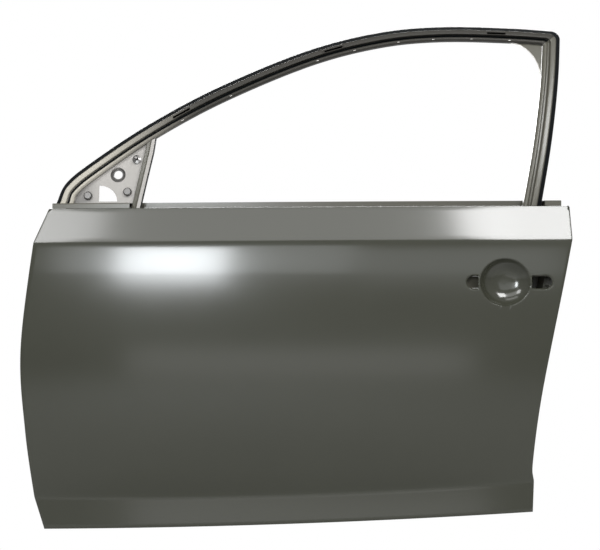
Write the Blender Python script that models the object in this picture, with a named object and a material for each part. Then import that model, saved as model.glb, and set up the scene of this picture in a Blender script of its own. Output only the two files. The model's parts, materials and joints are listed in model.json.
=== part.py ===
"""Front left door shell of a compact saloon, in pressed steel.

Metres. X runs to the car's rear, Y into the cabin, Z up. The origin is the centre of the upper
hinge's seat on the door's front end face.
"""
import math

import bmesh
import bpy
import numpy as np
from mathutils import Vector
from mathutils.geometry import delaunay_2d_cdt

# Gauges and clearances
SKIN_GAUGE = 0.0008
INNER_GAUGE = 0.0009
RAIL_GAUGE = 0.0010
BRACKET_GAUGE = 0.0015
GAP = 0.0003

# Fineness of the skin's mesh, of its folds and of the bolt holes
COLUMNS = 17
FOLD_TURNS = (60, 120, 180)
HOLE_SIDES = 12

# Skin outline: height of belt, creases and sill edge at the two ends, and the edges' places
BELT_FRONT = (0.0153, 0.1990)
BELT_REAR = (1.1574, 0.2060)
CREASE_FRONT = (-0.0136, 0.1240)
CREASE_REAR = (1.1582, 0.1320)
NOSE = (-0.0405, -0.1100)
NOSE_LOWER = (-0.0320, -0.2826)
SILL_FRONT = (-0.0144, -0.4300)
SILL_REAR = (1.0748, -0.3940)
BOTTOM_FRONT = (0.0090, -0.4990)
BOTTOM_REAR = (1.0714, -0.4600)
TAIL_UPPER = (1.1440, 0.0650)
TAIL = (1.0920, -0.1950)
WAIST = (1.0719, -0.3520)
SILL_SAG = 0.0090
BOTTOM_SAG = 0.0050

# Skin section
SKIN_STAND_OUT = 0.0600
CROWN_RADIUS = 8.0
BODY_RADIUS = 3.5
BODY_APEX_Z = -0.0460
SHOULDER_START_Z = 0.0540
SHOULDER_RADIUS = 0.60
TUCK_START_Z = -0.3660
TUCK_RADIUS = 0.80
SHOULDER_LEAN = math.radians(23.0)
SILL_FLARE = math.radians(5.0)
HEM_WIDTH = 0.0090
BELT_FLANGE = 0.0070
BELT_LIP = 0.0060
BELT_FOLD = 0.0020
ROW_INSET = 0.0450

# Handle recess and its two cut-outs
HANDLE_END = (1.1148, 0.0384)
BOWL_LENGTH = 0.1100
BOWL_HEIGHT = 0.1030
BOWL_DEPTH = 0.0240
BOWL_MARGIN = 0.0100
CUTOUT_HEIGHT = 0.0320
FRONT_CUTOUT_LENGTH = 0.0280
REAR_CUTOUT_LENGTH = 0.0480
CUTOUT_LAND = 0.0030
CUTOUT_SET = 0.0030
CUTOUT_BRIDGE = 0.0025
HANDLE_PLATE_MARGIN = 0.0090

# Inner panel
FLANGE_FRONT = 0.0160
FLANGE_REAR = 0.0200
FLANGE_BOTTOM = 0.0220
HINGE_FACE_X = 0.0000
SEAT_TOLERANCE = 0.00005
SEAT_SHARES = (0.15, 0.90)
SEAT_RISE = 0.0005
WALL_CORNER_RADIUS = 0.0450
SEAL_LAND = 0.0130
SEAL_LAND_SHARE = 0.55
WALL_DRAFT = 0.0040
INBOARD_Y = 0.0850
BELT_BAND = 0.0500
BELT_SLOPE = 0.0450
INNER_RISE = 0.0140
OPENING_RADIUS = 0.0450
OPENING_LAND = 0.0120
OPENING_SET = 0.0060
MODULE_X = (0.2450, 0.8350)
MODULE_Z = (-0.3350, 0.0750)
SPEAKER_CENTRE = (0.1250, -0.2900)
SPEAKER_RADIUS = 0.0680
REAR_OPENING_X = (0.9050, 1.0100)
REAR_OPENING_Z = (-0.3000, -0.1000)
LOCK_OPENING_X = (0.9050, 1.0450)
LOCK_OPENING_Z = (-0.0500, 0.0800)

# Fixings on the front and rear end faces
HINGE_Z = (0.0000, -0.3300)
HINGE_BOLT_PITCH = 0.0600
HINGE_BOLT_HOLE = 0.0110
CHECK_Z = -0.1650
CHECK_SLOT = (0.0220, 0.0340)
CHECK_BOLT_PITCH = 0.0540
CHECK_BOLT_HOLE = 0.0080
HARNESS_Z = 0.0750
HARNESS_HOLE = 0.0300
LATCH_Z = (-0.0950, 0.0450)
LATCH_SLOT = (0.0300, 0.0560)
LATCH_SCREW_RING = 0.0380
LATCH_SCREW_HOLE = 0.0070

# Reinforcements inside the door
HINGE_PLATE = (0.0380, 0.1000)
HINGE_PLATE_RETURN = 0.0180
HINGE_PLATE_Y = 0.0030
NUT_PLATE = (0.0260, 0.0840)
NUT_PLATE_THICKNESS = 0.0060
CHECK_PLATE = (0.0400, 0.0720)
LATCH_PLATE = (0.0540, 0.1100)
BEAM_FRONT = (0.0250, -0.0900)
BEAM_REAR = (1.0450, -0.2000)
BEAM_STAND_OFF = 0.0050
BEAM_DEPTH = 0.0160
BEAM_HALF_WIDTH = 0.0440
BEAM_BRACKET = (0.0560, 0.0560)
BEAM_BRACKET_RETURN = 0.0150
MASTIC_RADIUS = 0.0110
MASTIC_SHARES = (0.2, 0.4, 0.6, 0.8)
BELT_STRIP_END = 0.0300
BELT_STRIP_DEPTH = 0.0120
BELT_STRIP_HEIGHT = 0.0450
INNER_STRIP_DEPTH = 0.0080
GUIDE_WIDTH = 0.0160
GUIDE_DEPTH = 0.0140
GUIDE_FOOT = (0.9850, -0.3650)
GUIDE_BOW = 0.0050
GUIDE_SET_BACK = 0.0040

# Window frame
FRAME_SET_BACK = 0.0540
FRAME_LEAN = 0.18
FRAME_RADIUS = 1.20
HEADER_EDGE = (
    (0.0262, 0.2115),
    (0.0485, 0.2594),
    (0.1140, 0.3132),
    (0.2339, 0.3951),
    (0.3839, 0.4789),
    (0.5819, 0.5658),
    (0.7448, 0.6110),
    (0.8881, 0.6268),
    (1.0500, 0.6249),
    (1.1685, 0.6173),
)
PILLAR_EDGE = ((1.1685, 0.6173), (1.1534, 0.4961), (1.1295, 0.3549), (1.1001, 0.2126))
FRAME_CORNER_RADIUS = 0.0200
FRAME_INNER_RADIUS = 0.0050
CORNER_STEPS = 4
PILLAR_TAIL = 0.1200
RAIL_WIDTH = 0.0360
PILLAR_WIDTH = 0.0400
RAIL_DEPTH = 0.0260
RAIL_FACE = (0.0105, 0.0205)
RAIL_GROOVE = (0.0215, 0.0275)
RAIL_GROOVE_DEPTH = 0.0100
INNER_RAIL_RISE = 0.0090
SLOT_LENGTH = 0.0430
SLOT_WIDTH = 0.0045
SLOT_SHARES = (0.279, 0.579, 0.884)
SLOT_PLACE = 0.65
GUSSET_REACH = 0.0750
GUSSET_DEPTH = 0.0120
GUSSET_LIP = 0.0060

# Mirror triangle and divider bar
DIVIDER_TOP_X = 0.2256
DIVIDER_BELT_X = 0.1950
DIVIDER_WIDTH = 0.0205
DIVIDER_DEPTH = 0.0180
DIVIDER_TAIL = 0.3200
DIVIDER_LEVELS = (0.0060, 0.0045, 0.0020, 0.0030)
LEDGE_RISE = 0.0120
LEDGE_SET_BACK = 0.0030
LEDGE_END_GAP = 0.0020
LEDGE_FOLD = 0.0020
PLATE_SET_BACK = 0.0140
MIRROR_BOSS = (0.1624, 0.2765)
MIRROR_BOSS_RADIUS = 0.0165
MIRROR_BORE_RADIUS = 0.0095
MIRROR_BOSS_DEPTH = 0.0060
STUD_TOP = (0.2035, 0.3105)
NUT_FRONT = (0.0975, 0.2285)
NUT_REAR = (0.1850, 0.2370)
FIXING_RADIUS = 0.0055
CABLE_CUTOUT_X = (0.1215, 0.1620)
CABLE_CUTOUT_HEIGHT = 0.0360
CABLE_CUTOUT_SILL = 0.0040


def curve_through(points, steps):
    """Catmull-Rom curve through points, each span cut into its number of steps."""
    p = [np.array(q, float) for q in points]
    p = [2 * p[0] - p[1]] + p + [2 * p[-1] - p[-2]]
    out = []
    for a, b, c, d, count in zip(p, p[1:], p[2:], p[3:], steps):
        for k in range(count):
            t = k / count
            out.append(0.5 * (2 * b + (c - a) * t + (2 * a - 5 * b + 4 * c - d) * t ** 2
                              + (3 * b - a - 3 * c + d) * t ** 3))
    return out + [p[-2]]


def offset_path(points, distance):
    """Path moved to its left by distance, mitred at its corners."""
    p = [np.array(q, float) for q in points]
    out = []
    for i, q in enumerate(p):
        before = p[i] - p[i - 1] if i else p[1] - p[0]
        after = p[i + 1] - p[i] if i < len(p) - 1 else before
        before, after = before / np.linalg.norm(before), after / np.linalg.norm(after)
        n0, n1 = np.array((-before[1], before[0])), np.array((-after[1], after[0]))
        out.append(q + distance * (n0 + n1) / (1 + n0.dot(n1)))
    return out


def lerp(a, b, t):
    return a + (b - a) * t


def along(points, height):
    """x of an edge curve at a height, the curve running downwards."""
    zs = [-q[1] for q in points]
    return float(np.interp(-height, zs, [q[0] for q in points]))


def shoulder(belt, crease):
    """Edge of the shoulder facet, straight from the belt to the crease."""
    return [lerp(np.array(belt), np.array(crease), t) for t in (0.0, 0.25, 0.5, 0.75)]


FRONT_EDGE = shoulder(BELT_FRONT, CREASE_FRONT) + curve_through(
    (CREASE_FRONT, NOSE, NOSE_LOWER, SILL_FRONT), (9, 4, 4)) + [np.array(BOTTOM_FRONT)]
REAR_EDGE = shoulder(BELT_REAR, CREASE_REAR) + curve_through(
    (CREASE_REAR, TAIL_UPPER, TAIL, WAIST, SILL_REAR), (3, 8, 4, 2)) + [np.array(BOTTOM_REAR)]
MIDDLE_X = (BELT_FRONT[0] + BELT_REAR[0]) / 2


def line_z(front, rear, sag=0.0):
    """Height of a line from the front edge to the rear edge, sagging in its middle."""
    def z(x):
        t = (x - front[0]) / (rear[0] - front[0])
        return lerp(front[1], rear[1], t) - 4 * sag * t * (1 - t)
    return z


belt_z = line_z(BELT_FRONT, BELT_REAR)
crease_z = line_z(CREASE_FRONT, CREASE_REAR)
sill_z = line_z(SILL_FRONT, SILL_REAR, SILL_SAG)
bottom_z = line_z(BOTTOM_FRONT, BOTTOM_REAR, BOTTOM_SAG)


def crown(x):
    return (x - MIDDLE_X) ** 2 / (2 * CROWN_RADIUS)


def skin_y(x, z):
    """Outer face of the skin."""
    body = min(max(z, sill_z(x)), crease_z(x))
    y = crown(x) - SKIN_STAND_OUT + (body - BODY_APEX_Z) ** 2 / (2 * BODY_RADIUS)
    y += max(0.0, body - SHOULDER_START_Z) ** 2 / (2 * SHOULDER_RADIUS)
    y += max(0.0, TUCK_START_Z - body) ** 2 / (2 * TUCK_RADIUS)
    y += max(0.0, z - crease_z(x)) * math.tan(SHOULDER_LEAN)
    return y - max(0.0, sill_z(x) - z) * math.tan(SILL_FLARE)


def behind_skin(x, z, depth):
    """Face that lies depth behind the skin's outer face, measured square to it."""
    h = 0.002
    dx = (skin_y(x + h, z) - skin_y(x - h, z)) / (2 * h)
    dz = (skin_y(x, z + h) - skin_y(x, z - h)) / (2 * h)
    return skin_y(x, z) + depth * math.sqrt(1 + dx * dx + dz * dz)


RAIL_STACK = RAIL_DEPTH + INNER_RAIL_RISE + RAIL_GAUGE + GAP


def frame_y(x, z):
    """Outer face of the window frame, which leans in towards the roof."""
    rise = max(z - belt_z(x), -FRAME_LEAN * FRAME_RADIUS)
    return (crown(x) - SKIN_STAND_OUT + FRAME_SET_BACK + FRAME_LEAN * rise
            + rise ** 2 / (2 * FRAME_RADIUS))


def inboard_y(x, z):
    """Cavity side of the inner panel's main face: set back at the belt, bulged in below."""
    band = frame_y(x, belt_z(x) + INNER_RISE) + RAIL_STACK + GAP
    drop = (belt_z(x) - z - BELT_BAND) / BELT_SLOPE
    drop = min(max(drop, 0.0), 1.0)
    return lerp(band, INBOARD_Y, drop * drop * (3 - 2 * drop))


def clear_scene():
    for item in list(bpy.data.objects):
        bpy.data.objects.remove(item, do_unlink=True)


def material(name, colour, roughness, metallic):
    made = bpy.data.materials.get(name)
    if made is None:
        made = bpy.data.materials.new(name)
        made.use_nodes = True
        shader = made.node_tree.nodes["Principled BSDF"]
        shader.inputs["Base Color"].default_value = (*colour, 1)
        shader.inputs["Roughness"].default_value = roughness
        shader.inputs["Metallic"].default_value = metallic
    return made


def primer():
    return material("primer", (0.075, 0.078, 0.065), 0.35, 0.25)


def dark_primer():
    return material("dark_primer", (0.018, 0.022, 0.022), 0.40, 0.20)


def bare_steel():
    return material("bare_steel", (0.35, 0.34, 0.32), 0.35, 1.0)


def mastic():
    return material("mastic", (0.05, 0.05, 0.045), 0.80, 0.0)


def new_object(name, points, faces, finish, gauge=None):
    """Object from points and faces. A gauge thickens it behind its faces."""
    mesh = bpy.data.meshes.new(name)
    mesh.from_pydata([tuple(p) for p in points], [], faces)
    work = bmesh.new()
    work.from_mesh(mesh)
    if gauge is None:
        bmesh.ops.recalc_face_normals(work, faces=work.faces)
    bmesh.ops.triangulate(work, faces=[f for f in work.faces if len(f.verts) > 4])
    work.to_mesh(mesh)
    work.free()
    mesh.materials.append(finish)
    mesh.shade_smooth()
    mesh.set_sharp_from_angle(angle=math.radians(30))
    made = bpy.data.objects.new(name, mesh)
    bpy.context.collection.objects.link(made)
    if gauge is not None:
        solid = made.modifiers.new("gauge", "SOLIDIFY")
        solid.thickness = gauge
        solid.offset = -1
        solid.use_even_offset = True
        solid.use_quality_normals = True
    return made


def inside(point, loop):
    """Whether a 2-D point lies in a closed loop."""
    x, z = point
    hit = False
    for (x0, z0), (x1, z1) in zip(loop, loop[1:] + loop[:1]):
        if (z0 > z) != (z1 > z) and x < (x1 - x0) * (z - z0) / (z1 - z0) + x0:
            hit = not hit
    return hit


class Sheet:
    """Pressed sheet: a meshed 2-D region lifted to its form, with strips folded off its edges."""

    def __init__(self):
        self.points = []
        self.faces = []

    def add(self, points):
        start = len(self.points)
        self.points += [tuple(p) for p in points]
        return list(range(start, len(self.points)))

    def region(self, outline, lift, loops=(), holes=(), loose=(), creases=()):
        """Mesh an outline given by indices of points, with formed loops and open holes.

        A loop or hole is a list of (x, z, set), set being how far its edge is pressed in. A
        crease is a list of (x, z) points between two points of the outline.
        """
        flat = [(self.points[i][0], self.points[i][2]) for i in outline]
        index = list(outline)
        edges = [(i, (i + 1) % len(outline)) for i in range(len(outline))]
        for loop in list(loops) + list(holes):
            start = len(flat)
            flat += [(x, z) for x, z, depth in loop]
            index += self.add([(x, lift(x, z) + depth, z) for x, z, depth in loop])
            edges += [(start + i, start + (i + 1) % len(loop)) for i in range(len(loop))]
        for x, z, depth in loose:
            flat.append((x, z))
            index += self.add([(x, lift(x, z) + depth, z)])
        for first, line, last in creases:
            start = len(flat)
            flat += list(line)
            index += self.add([(x, lift(x, z), z) for x, z in line])
            chain = [outline.index(first), *range(start, len(flat)), outline.index(last)]
            edges += list(zip(chain, chain[1:]))
        ring = flat[:len(outline)]
        gaps = [[(x, z) for x, z, depth in loop] for loop in holes]
        result = delaunay_2d_cdt([Vector(p) for p in flat], edges, [], 1, 1e-7)
        spots, triangles, origin = result[0], result[2], result[3]
        for triangle in triangles:
            middle = sum((spots[i] for i in triangle), Vector((0, 0))) / 3
            if not inside(middle, ring) or any(inside(middle, gap) for gap in gaps):
                continue
            a, b, c = (spots[i] for i in triangle)
            corners = [index[origin[i][0]] for i in triangle]
            if (b - a).cross(c - a) < 0:
                corners.reverse()
            self.faces.append(corners)

    def strip(self, first, second):
        """Quads between two rows of indices."""
        for a, b, c, d in zip(first, first[1:], second[1:], second):
            self.faces.append([a, b, c, d])

    def build(self, name, gauge, finish):
        used = sorted({i for face in self.faces for i in face})
        place = {old: new for new, old in enumerate(used)}
        faces = [[place[i] for i in face] for face in self.faces]
        return new_object(name, [self.points[i] for i in used], faces, finish, gauge)


FOLD_RADIUS = SKIN_GAUGE + GAP + INNER_GAUGE / 2
BOWL_CENTRE = (HANDLE_END[0] - REAR_CUTOUT_LENGTH - CUTOUT_BRIDGE - BOWL_LENGTH / 2, HANDLE_END[1])


def skin_edge(drop=0.0):
    """Door outline: down the front, along the sill and up the rear, starting drop below the belt."""
    front = [q for q in FRONT_EDGE[1:]]
    rear = [q for q in REAR_EDGE[1:]]
    top_front, top_rear = (lerp(edge[0], edge[1], drop / (edge[0][1] - edge[1][1]))
                           for edge in (FRONT_EDGE, REAR_EDGE))
    xs = np.linspace(BOTTOM_FRONT[0], BOTTOM_REAR[0], COLUMNS + 1)[1:-1]
    sill = [np.array((x, bottom_z(x))) for x in xs]
    return [top_front] + front + sill + rear[::-1] + [top_rear]


def edge_inset(path, inset):
    """Door outline moved inwards, its ends kept at their height and its creases on their lines."""
    moved = offset_path(path, inset)
    moved[0][1], moved[-1][1] = path[0][1], path[-1][1]
    for i, line in ((4, crease_z), (len(FRONT_EDGE) - 2, sill_z)):
        for k in (i, len(path) - 1 - i):
            moved[k][1] = line(moved[k][0])
    return moved


def row_points(line, inset):
    """Points of one row of the skin, inset from both of its edges."""
    left = along(FRONT_EDGE, line(MIDDLE_X))
    right = along(REAR_EDGE, line(MIDDLE_X))
    left, right = along(FRONT_EDGE, line(left)), along(REAR_EDGE, line(right))
    xs = np.linspace(left, right, COLUMNS + 1)[1:-1]
    return [(x, line(x)) for x in xs if left + inset < x < right - inset]


def between(lower, upper, t):
    return lambda x: lerp(lower(x), upper(x), t)


def ellipse(centre, half_length, half_height, depth, count, phase=0.0):
    out = []
    for k in range(count):
        a = 2 * math.pi * (k + phase) / count
        out.append((centre[0] + half_length * math.cos(a), centre[1] + half_height * math.sin(a), depth))
    return out


def stadium_end(near, far, centre_z, height, depth, steps=6):
    """Loop with a straight end at near and a round end at far."""
    side = 1 if far > near else -1
    radius = height / 2
    out = [(near, centre_z - radius, depth)]
    for k in range(steps + 1):
        a = math.pi * (k / steps - 0.5)
        out.append((far + side * radius * (math.cos(a) - 1), centre_z + radius * math.sin(a), depth))
    return out + [(near, centre_z + radius, depth)]


def outer_panel():
    sheet = Sheet()
    path = skin_edge(BELT_FOLD)
    wall = wall_path(path)
    base = edge_inset(path, FOLD_RADIUS)
    rim = sheet.add([(x, skin_y(x, z), z) for x, z in base])
    plan = sheet.add([(x, skin_y(x, z), z) for x, z in wall])
    belt_xs = np.linspace(wall[-1][0], wall[0][0], COLUMNS)[1:-1]
    top = [(x, belt_z(x) - BELT_FOLD) for x in belt_xs]
    belt = sheet.add([(x, skin_y(x, z), z) for x, z in top])
    ties = [(rim[i], [], plan[j]) for i, j in flange_ties(path, wall)[1:-1]]
    sheet.region(rim + plan[::-1], skin_y, creases=ties)

    def level_with(line, ends):
        return min(ends, key=lambda j: abs(wall[j][1] - line(wall[j][0])))

    half = len(wall) // 2
    creases = []
    for line in (crease_z, sill_z):
        first, last = level_with(line, range(half)), level_with(line, range(half, len(wall)))
        creases.append((plan[first], row_points(line, ROW_INSET), plan[last]))
    rows = [between(crease_z, belt_z, t) for t in (0.33, 0.66)]
    rows += [between(crease_z, sill_z, t) for t in
             (0.04, 0.08, 0.13, 0.19, 0.27, 0.36, 0.45, 0.54, 0.63, 0.72, 0.81, 0.88, 0.94)]
    rows += [between(sill_z, bottom_z, 0.5)]
    cx, cz = BOWL_CENTRE
    left, right = cx - BOWL_LENGTH / 2 - CUTOUT_BRIDGE, cx + BOWL_LENGTH / 2 + CUTOUT_BRIDGE
    front_end, rear_end = left - FRONT_CUTOUT_LENGTH, right + REAR_CUTOUT_LENGTH
    margin = BOWL_MARGIN
    half = BOWL_HEIGHT / 2 + margin
    loose = []
    for row in rows:
        for x, z in row_points(row, ROW_INSET):
            if not (front_end - margin < x < rear_end + margin and abs(z - cz) < half):
                loose.append((x, z, 0.0))
    loops = []
    for share in (1.0, 0.94, 0.84, 0.68, 0.46, 0.22):
        depth = BOWL_DEPTH * (1 - share ** 3)
        loops.append(ellipse(BOWL_CENTRE, share * BOWL_LENGTH / 2, share * BOWL_HEIGHT / 2, depth, 28))
    loose.append((cx, cz, BOWL_DEPTH))
    holes = []
    for near, far in ((left, front_end), (right, rear_end)):
        side = 1 if far > near else -1
        loops.append(stadium_end(near, far, cz, CUTOUT_HEIGHT, 0.0))
        holes.append(stadium_end(near + side * CUTOUT_LAND / 2, far - side * CUTOUT_LAND, cz,
                                 CUTOUT_HEIGHT - 2 * CUTOUT_LAND, CUTOUT_SET))
    sheet.region(plan + belt, skin_y, loops, holes, loose, creases)

    row = rim
    for turn in FOLD_TURNS:
        a = math.radians(turn)
        inset, depth = FOLD_RADIUS * (1 - math.sin(a)), FOLD_RADIUS * (1 - math.cos(a))
        fold = sheet.add([(x, behind_skin(x, z, depth), z) for x, z in edge_inset(path, inset)])
        sheet.strip(fold, row)
        row = fold
    moved = edge_inset(path, FOLD_RADIUS + HEM_WIDTH)
    fold = sheet.add([(x, behind_skin(x, z, 2 * FOLD_RADIUS), z) for x, z in moved])
    sheet.strip(fold, row)

    ends = [tuple(base[-1]), tuple(wall[-1])], [tuple(wall[0]), tuple(base[0])]
    top = ends[0] + top + ends[1]
    row = [rim[-1], plan[-1]] + belt + [plan[0], rim[0]]
    section = [(BELT_FOLD * math.sin(math.radians(a)), BELT_FOLD * (1 - math.cos(math.radians(a))))
               for a in (30, 60, 90)]
    section += [(BELT_FOLD, BELT_FOLD + BELT_FLANGE), (BELT_FOLD - BELT_LIP, BELT_FOLD + BELT_FLANGE)]
    for rise, depth in section:
        fold = sheet.add([(x, skin_y(x, z) + depth, z + rise) for x, z in top])
        sheet.strip(fold, row)
        row = fold
    return sheet.build("outer_panel", SKIN_GAUGE, primer())


def rounded_loop(corners, radius, grow, depth, steps=4):
    """Loop round convex corners listed anticlockwise, grown outwards, with rounded corners."""
    out = []
    count = len(corners)
    for k in range(count):
        before, here, after = (np.array(corners[(k + j) % count], float) for j in (-1, 0, 1))
        arrive, leave = here - before, after - here
        arrive, leave = arrive / np.linalg.norm(arrive), leave / np.linalg.norm(leave)
        turn = math.atan2(arrive[0] * leave[1] - arrive[1] * leave[0], arrive.dot(leave))
        centre = here - arrive * radius * math.tan(turn / 2)
        centre = centre + np.array((-arrive[1], arrive[0])) * radius
        start = math.atan2(-arrive[0], arrive[1])
        for j in range(steps + 1):
            a = start + turn * j / steps
            out.append((centre[0] + (radius + grow) * math.cos(a),
                        centre[1] + (radius + grow) * math.sin(a), depth))
    return out


def box_corners(xs, zs, slant=0.0):
    """Corners of an upright box, its rear side leaning by slant at the top."""
    return [(xs[0], zs[0]), (xs[1] - slant, zs[0]), (xs[1], zs[1]), (xs[0], zs[1])]


def cut(made, points, faces, name):
    """Cut closed bodies, listed as points and faces, out of an object."""
    mesh = bpy.data.meshes.new(name)
    mesh.from_pydata([tuple(p) for p in points], [], faces)
    work = bmesh.new()
    work.from_mesh(mesh)
    bmesh.ops.recalc_face_normals(work, faces=work.faces)
    work.to_mesh(mesh)
    work.free()
    cutter = bpy.data.objects.new(name, mesh)
    bpy.context.collection.objects.link(cutter)
    cutter.hide_render = True
    cutter.display_type = "WIRE"
    knife = made.modifiers.new(name, "BOOLEAN")
    knife.operation = "DIFFERENCE"
    knife.solver = "EXACT"
    knife.object = cutter


def prism(loop, start, end):
    """Closed body between two copies of a 3-D loop, moved by start and by end."""
    start, end = np.array(start), np.array(end)
    count = len(loop)
    points = [np.array(p) + start for p in loop] + [np.array(p) + end for p in loop]
    faces = [list(range(count)), list(range(2 * count - 1, count - 1, -1))]
    faces += [[i, (i + 1) % count, count + (i + 1) % count, count + i] for i in range(count)]
    return points, faces


def gather(bodies):
    """Points and faces of several closed bodies as one list."""
    points, faces = [], []
    for body_points, body_faces in bodies:
        faces += [[i + len(points) for i in face] for face in body_faces]
        points += list(body_points)
    return points, faces


def ring_3d(centre, across, up, radius, count):
    """Circle round centre in the plane of two unit vectors."""
    centre, across, up = (np.array(v, float) for v in (centre, across, up))
    return [centre + radius * (math.cos(2 * math.pi * k / count) * across
                               + math.sin(2 * math.pi * k / count) * up) for k in range(count)]


def slot_3d(centre, across, up, width, height):
    centre, across, up = (np.array(v, float) for v in (centre, across, up))
    return [centre + i * across * width / 2 + j * up * height / 2
            for i, j in ((-1, -1), (1, -1), (1, 1), (-1, 1))]


PANEL_LEVEL = SKIN_GAUGE + GAP
PANEL_DROP = BELT_FOLD + BELT_LIP
WALL_X = HINGE_FACE_X + SEAT_RISE + INNER_GAUGE


def latch_line():
    """Lower and upper end of the flat latch seat on the rear wall."""
    return [(along(REAR_EDGE, z) - FLANGE_REAR, z) for z in LATCH_Z]


def wall_path(edge):
    """Plan of the shut face: the end faces and the bottom wall, with round corners.

    Its points stand level with those of the door's edge, apart from the two round corners.
    """
    radius = WALL_CORNER_RADIUS
    low, high = latch_line()

    def front_x(z):
        return max(along(FRONT_EDGE, z) + FLANGE_FRONT, WALL_X)

    def rear_x(z):
        if low[1] < z < high[1]:
            return lerp(low[0], high[0], (z - low[1]) / (high[1] - low[1]))
        return along(REAR_EDGE, z) - FLANGE_REAR

    def snapped(z, points):
        """Height where a round corner starts, moved onto a point of the edge close to it."""
        nearest = min((q[1] for q in points), key=lambda h: abs(h - z))
        return nearest if abs(nearest - z) < radius / 4 else z

    zf = snapped(BOTTOM_FRONT[1] + FLANGE_BOTTOM + radius, FRONT_EDGE)
    zr = snapped(BOTTOM_REAR[1] + FLANGE_BOTTOM + radius, REAR_EDGE)
    half = len(FRONT_EDGE)
    front = [q[1] for q in edge[:half] if q[1] > zf + radius / 4] + [zf]
    out = [np.array((front_x(z), z)) for z in front]
    foot = out[-1] + np.array((radius, 0.0))
    turns = [math.radians(a) for a in (18, 36, 54, 72, 90)]
    out += [foot + radius * np.array((-math.cos(a), -math.sin(a))) for a in turns]
    end_x = rear_x(zr) - radius
    sill = [q[0] for q in edge[half:-half] if out[-1][0] + radius / 2 < q[0] < end_x - radius / 2]
    out += [np.array((x, bottom_z(x) + FLANGE_BOTTOM)) for x in sill + [end_x]]
    foot = np.array((end_x, zr))
    out += [foot + radius * np.array((math.sin(a), -math.cos(a))) for a in turns[:-1]]
    rear = [zr] + [q[1] for q in edge[half:] if q[1] > zr + radius / 4]
    return out + [np.array((rear_x(z), z)) for z in rear]


def flange_ties(edge, wall):
    """Pairs of places that join each point of the wall to the nearest free point of the edge."""
    ties, last = [], 0
    for j, spot in enumerate(wall):
        i = min(range(last, len(edge)), key=lambda k: np.hypot(*(edge[k] - spot)))
        ties.append((i, j))
        last = i
    return ties


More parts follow.
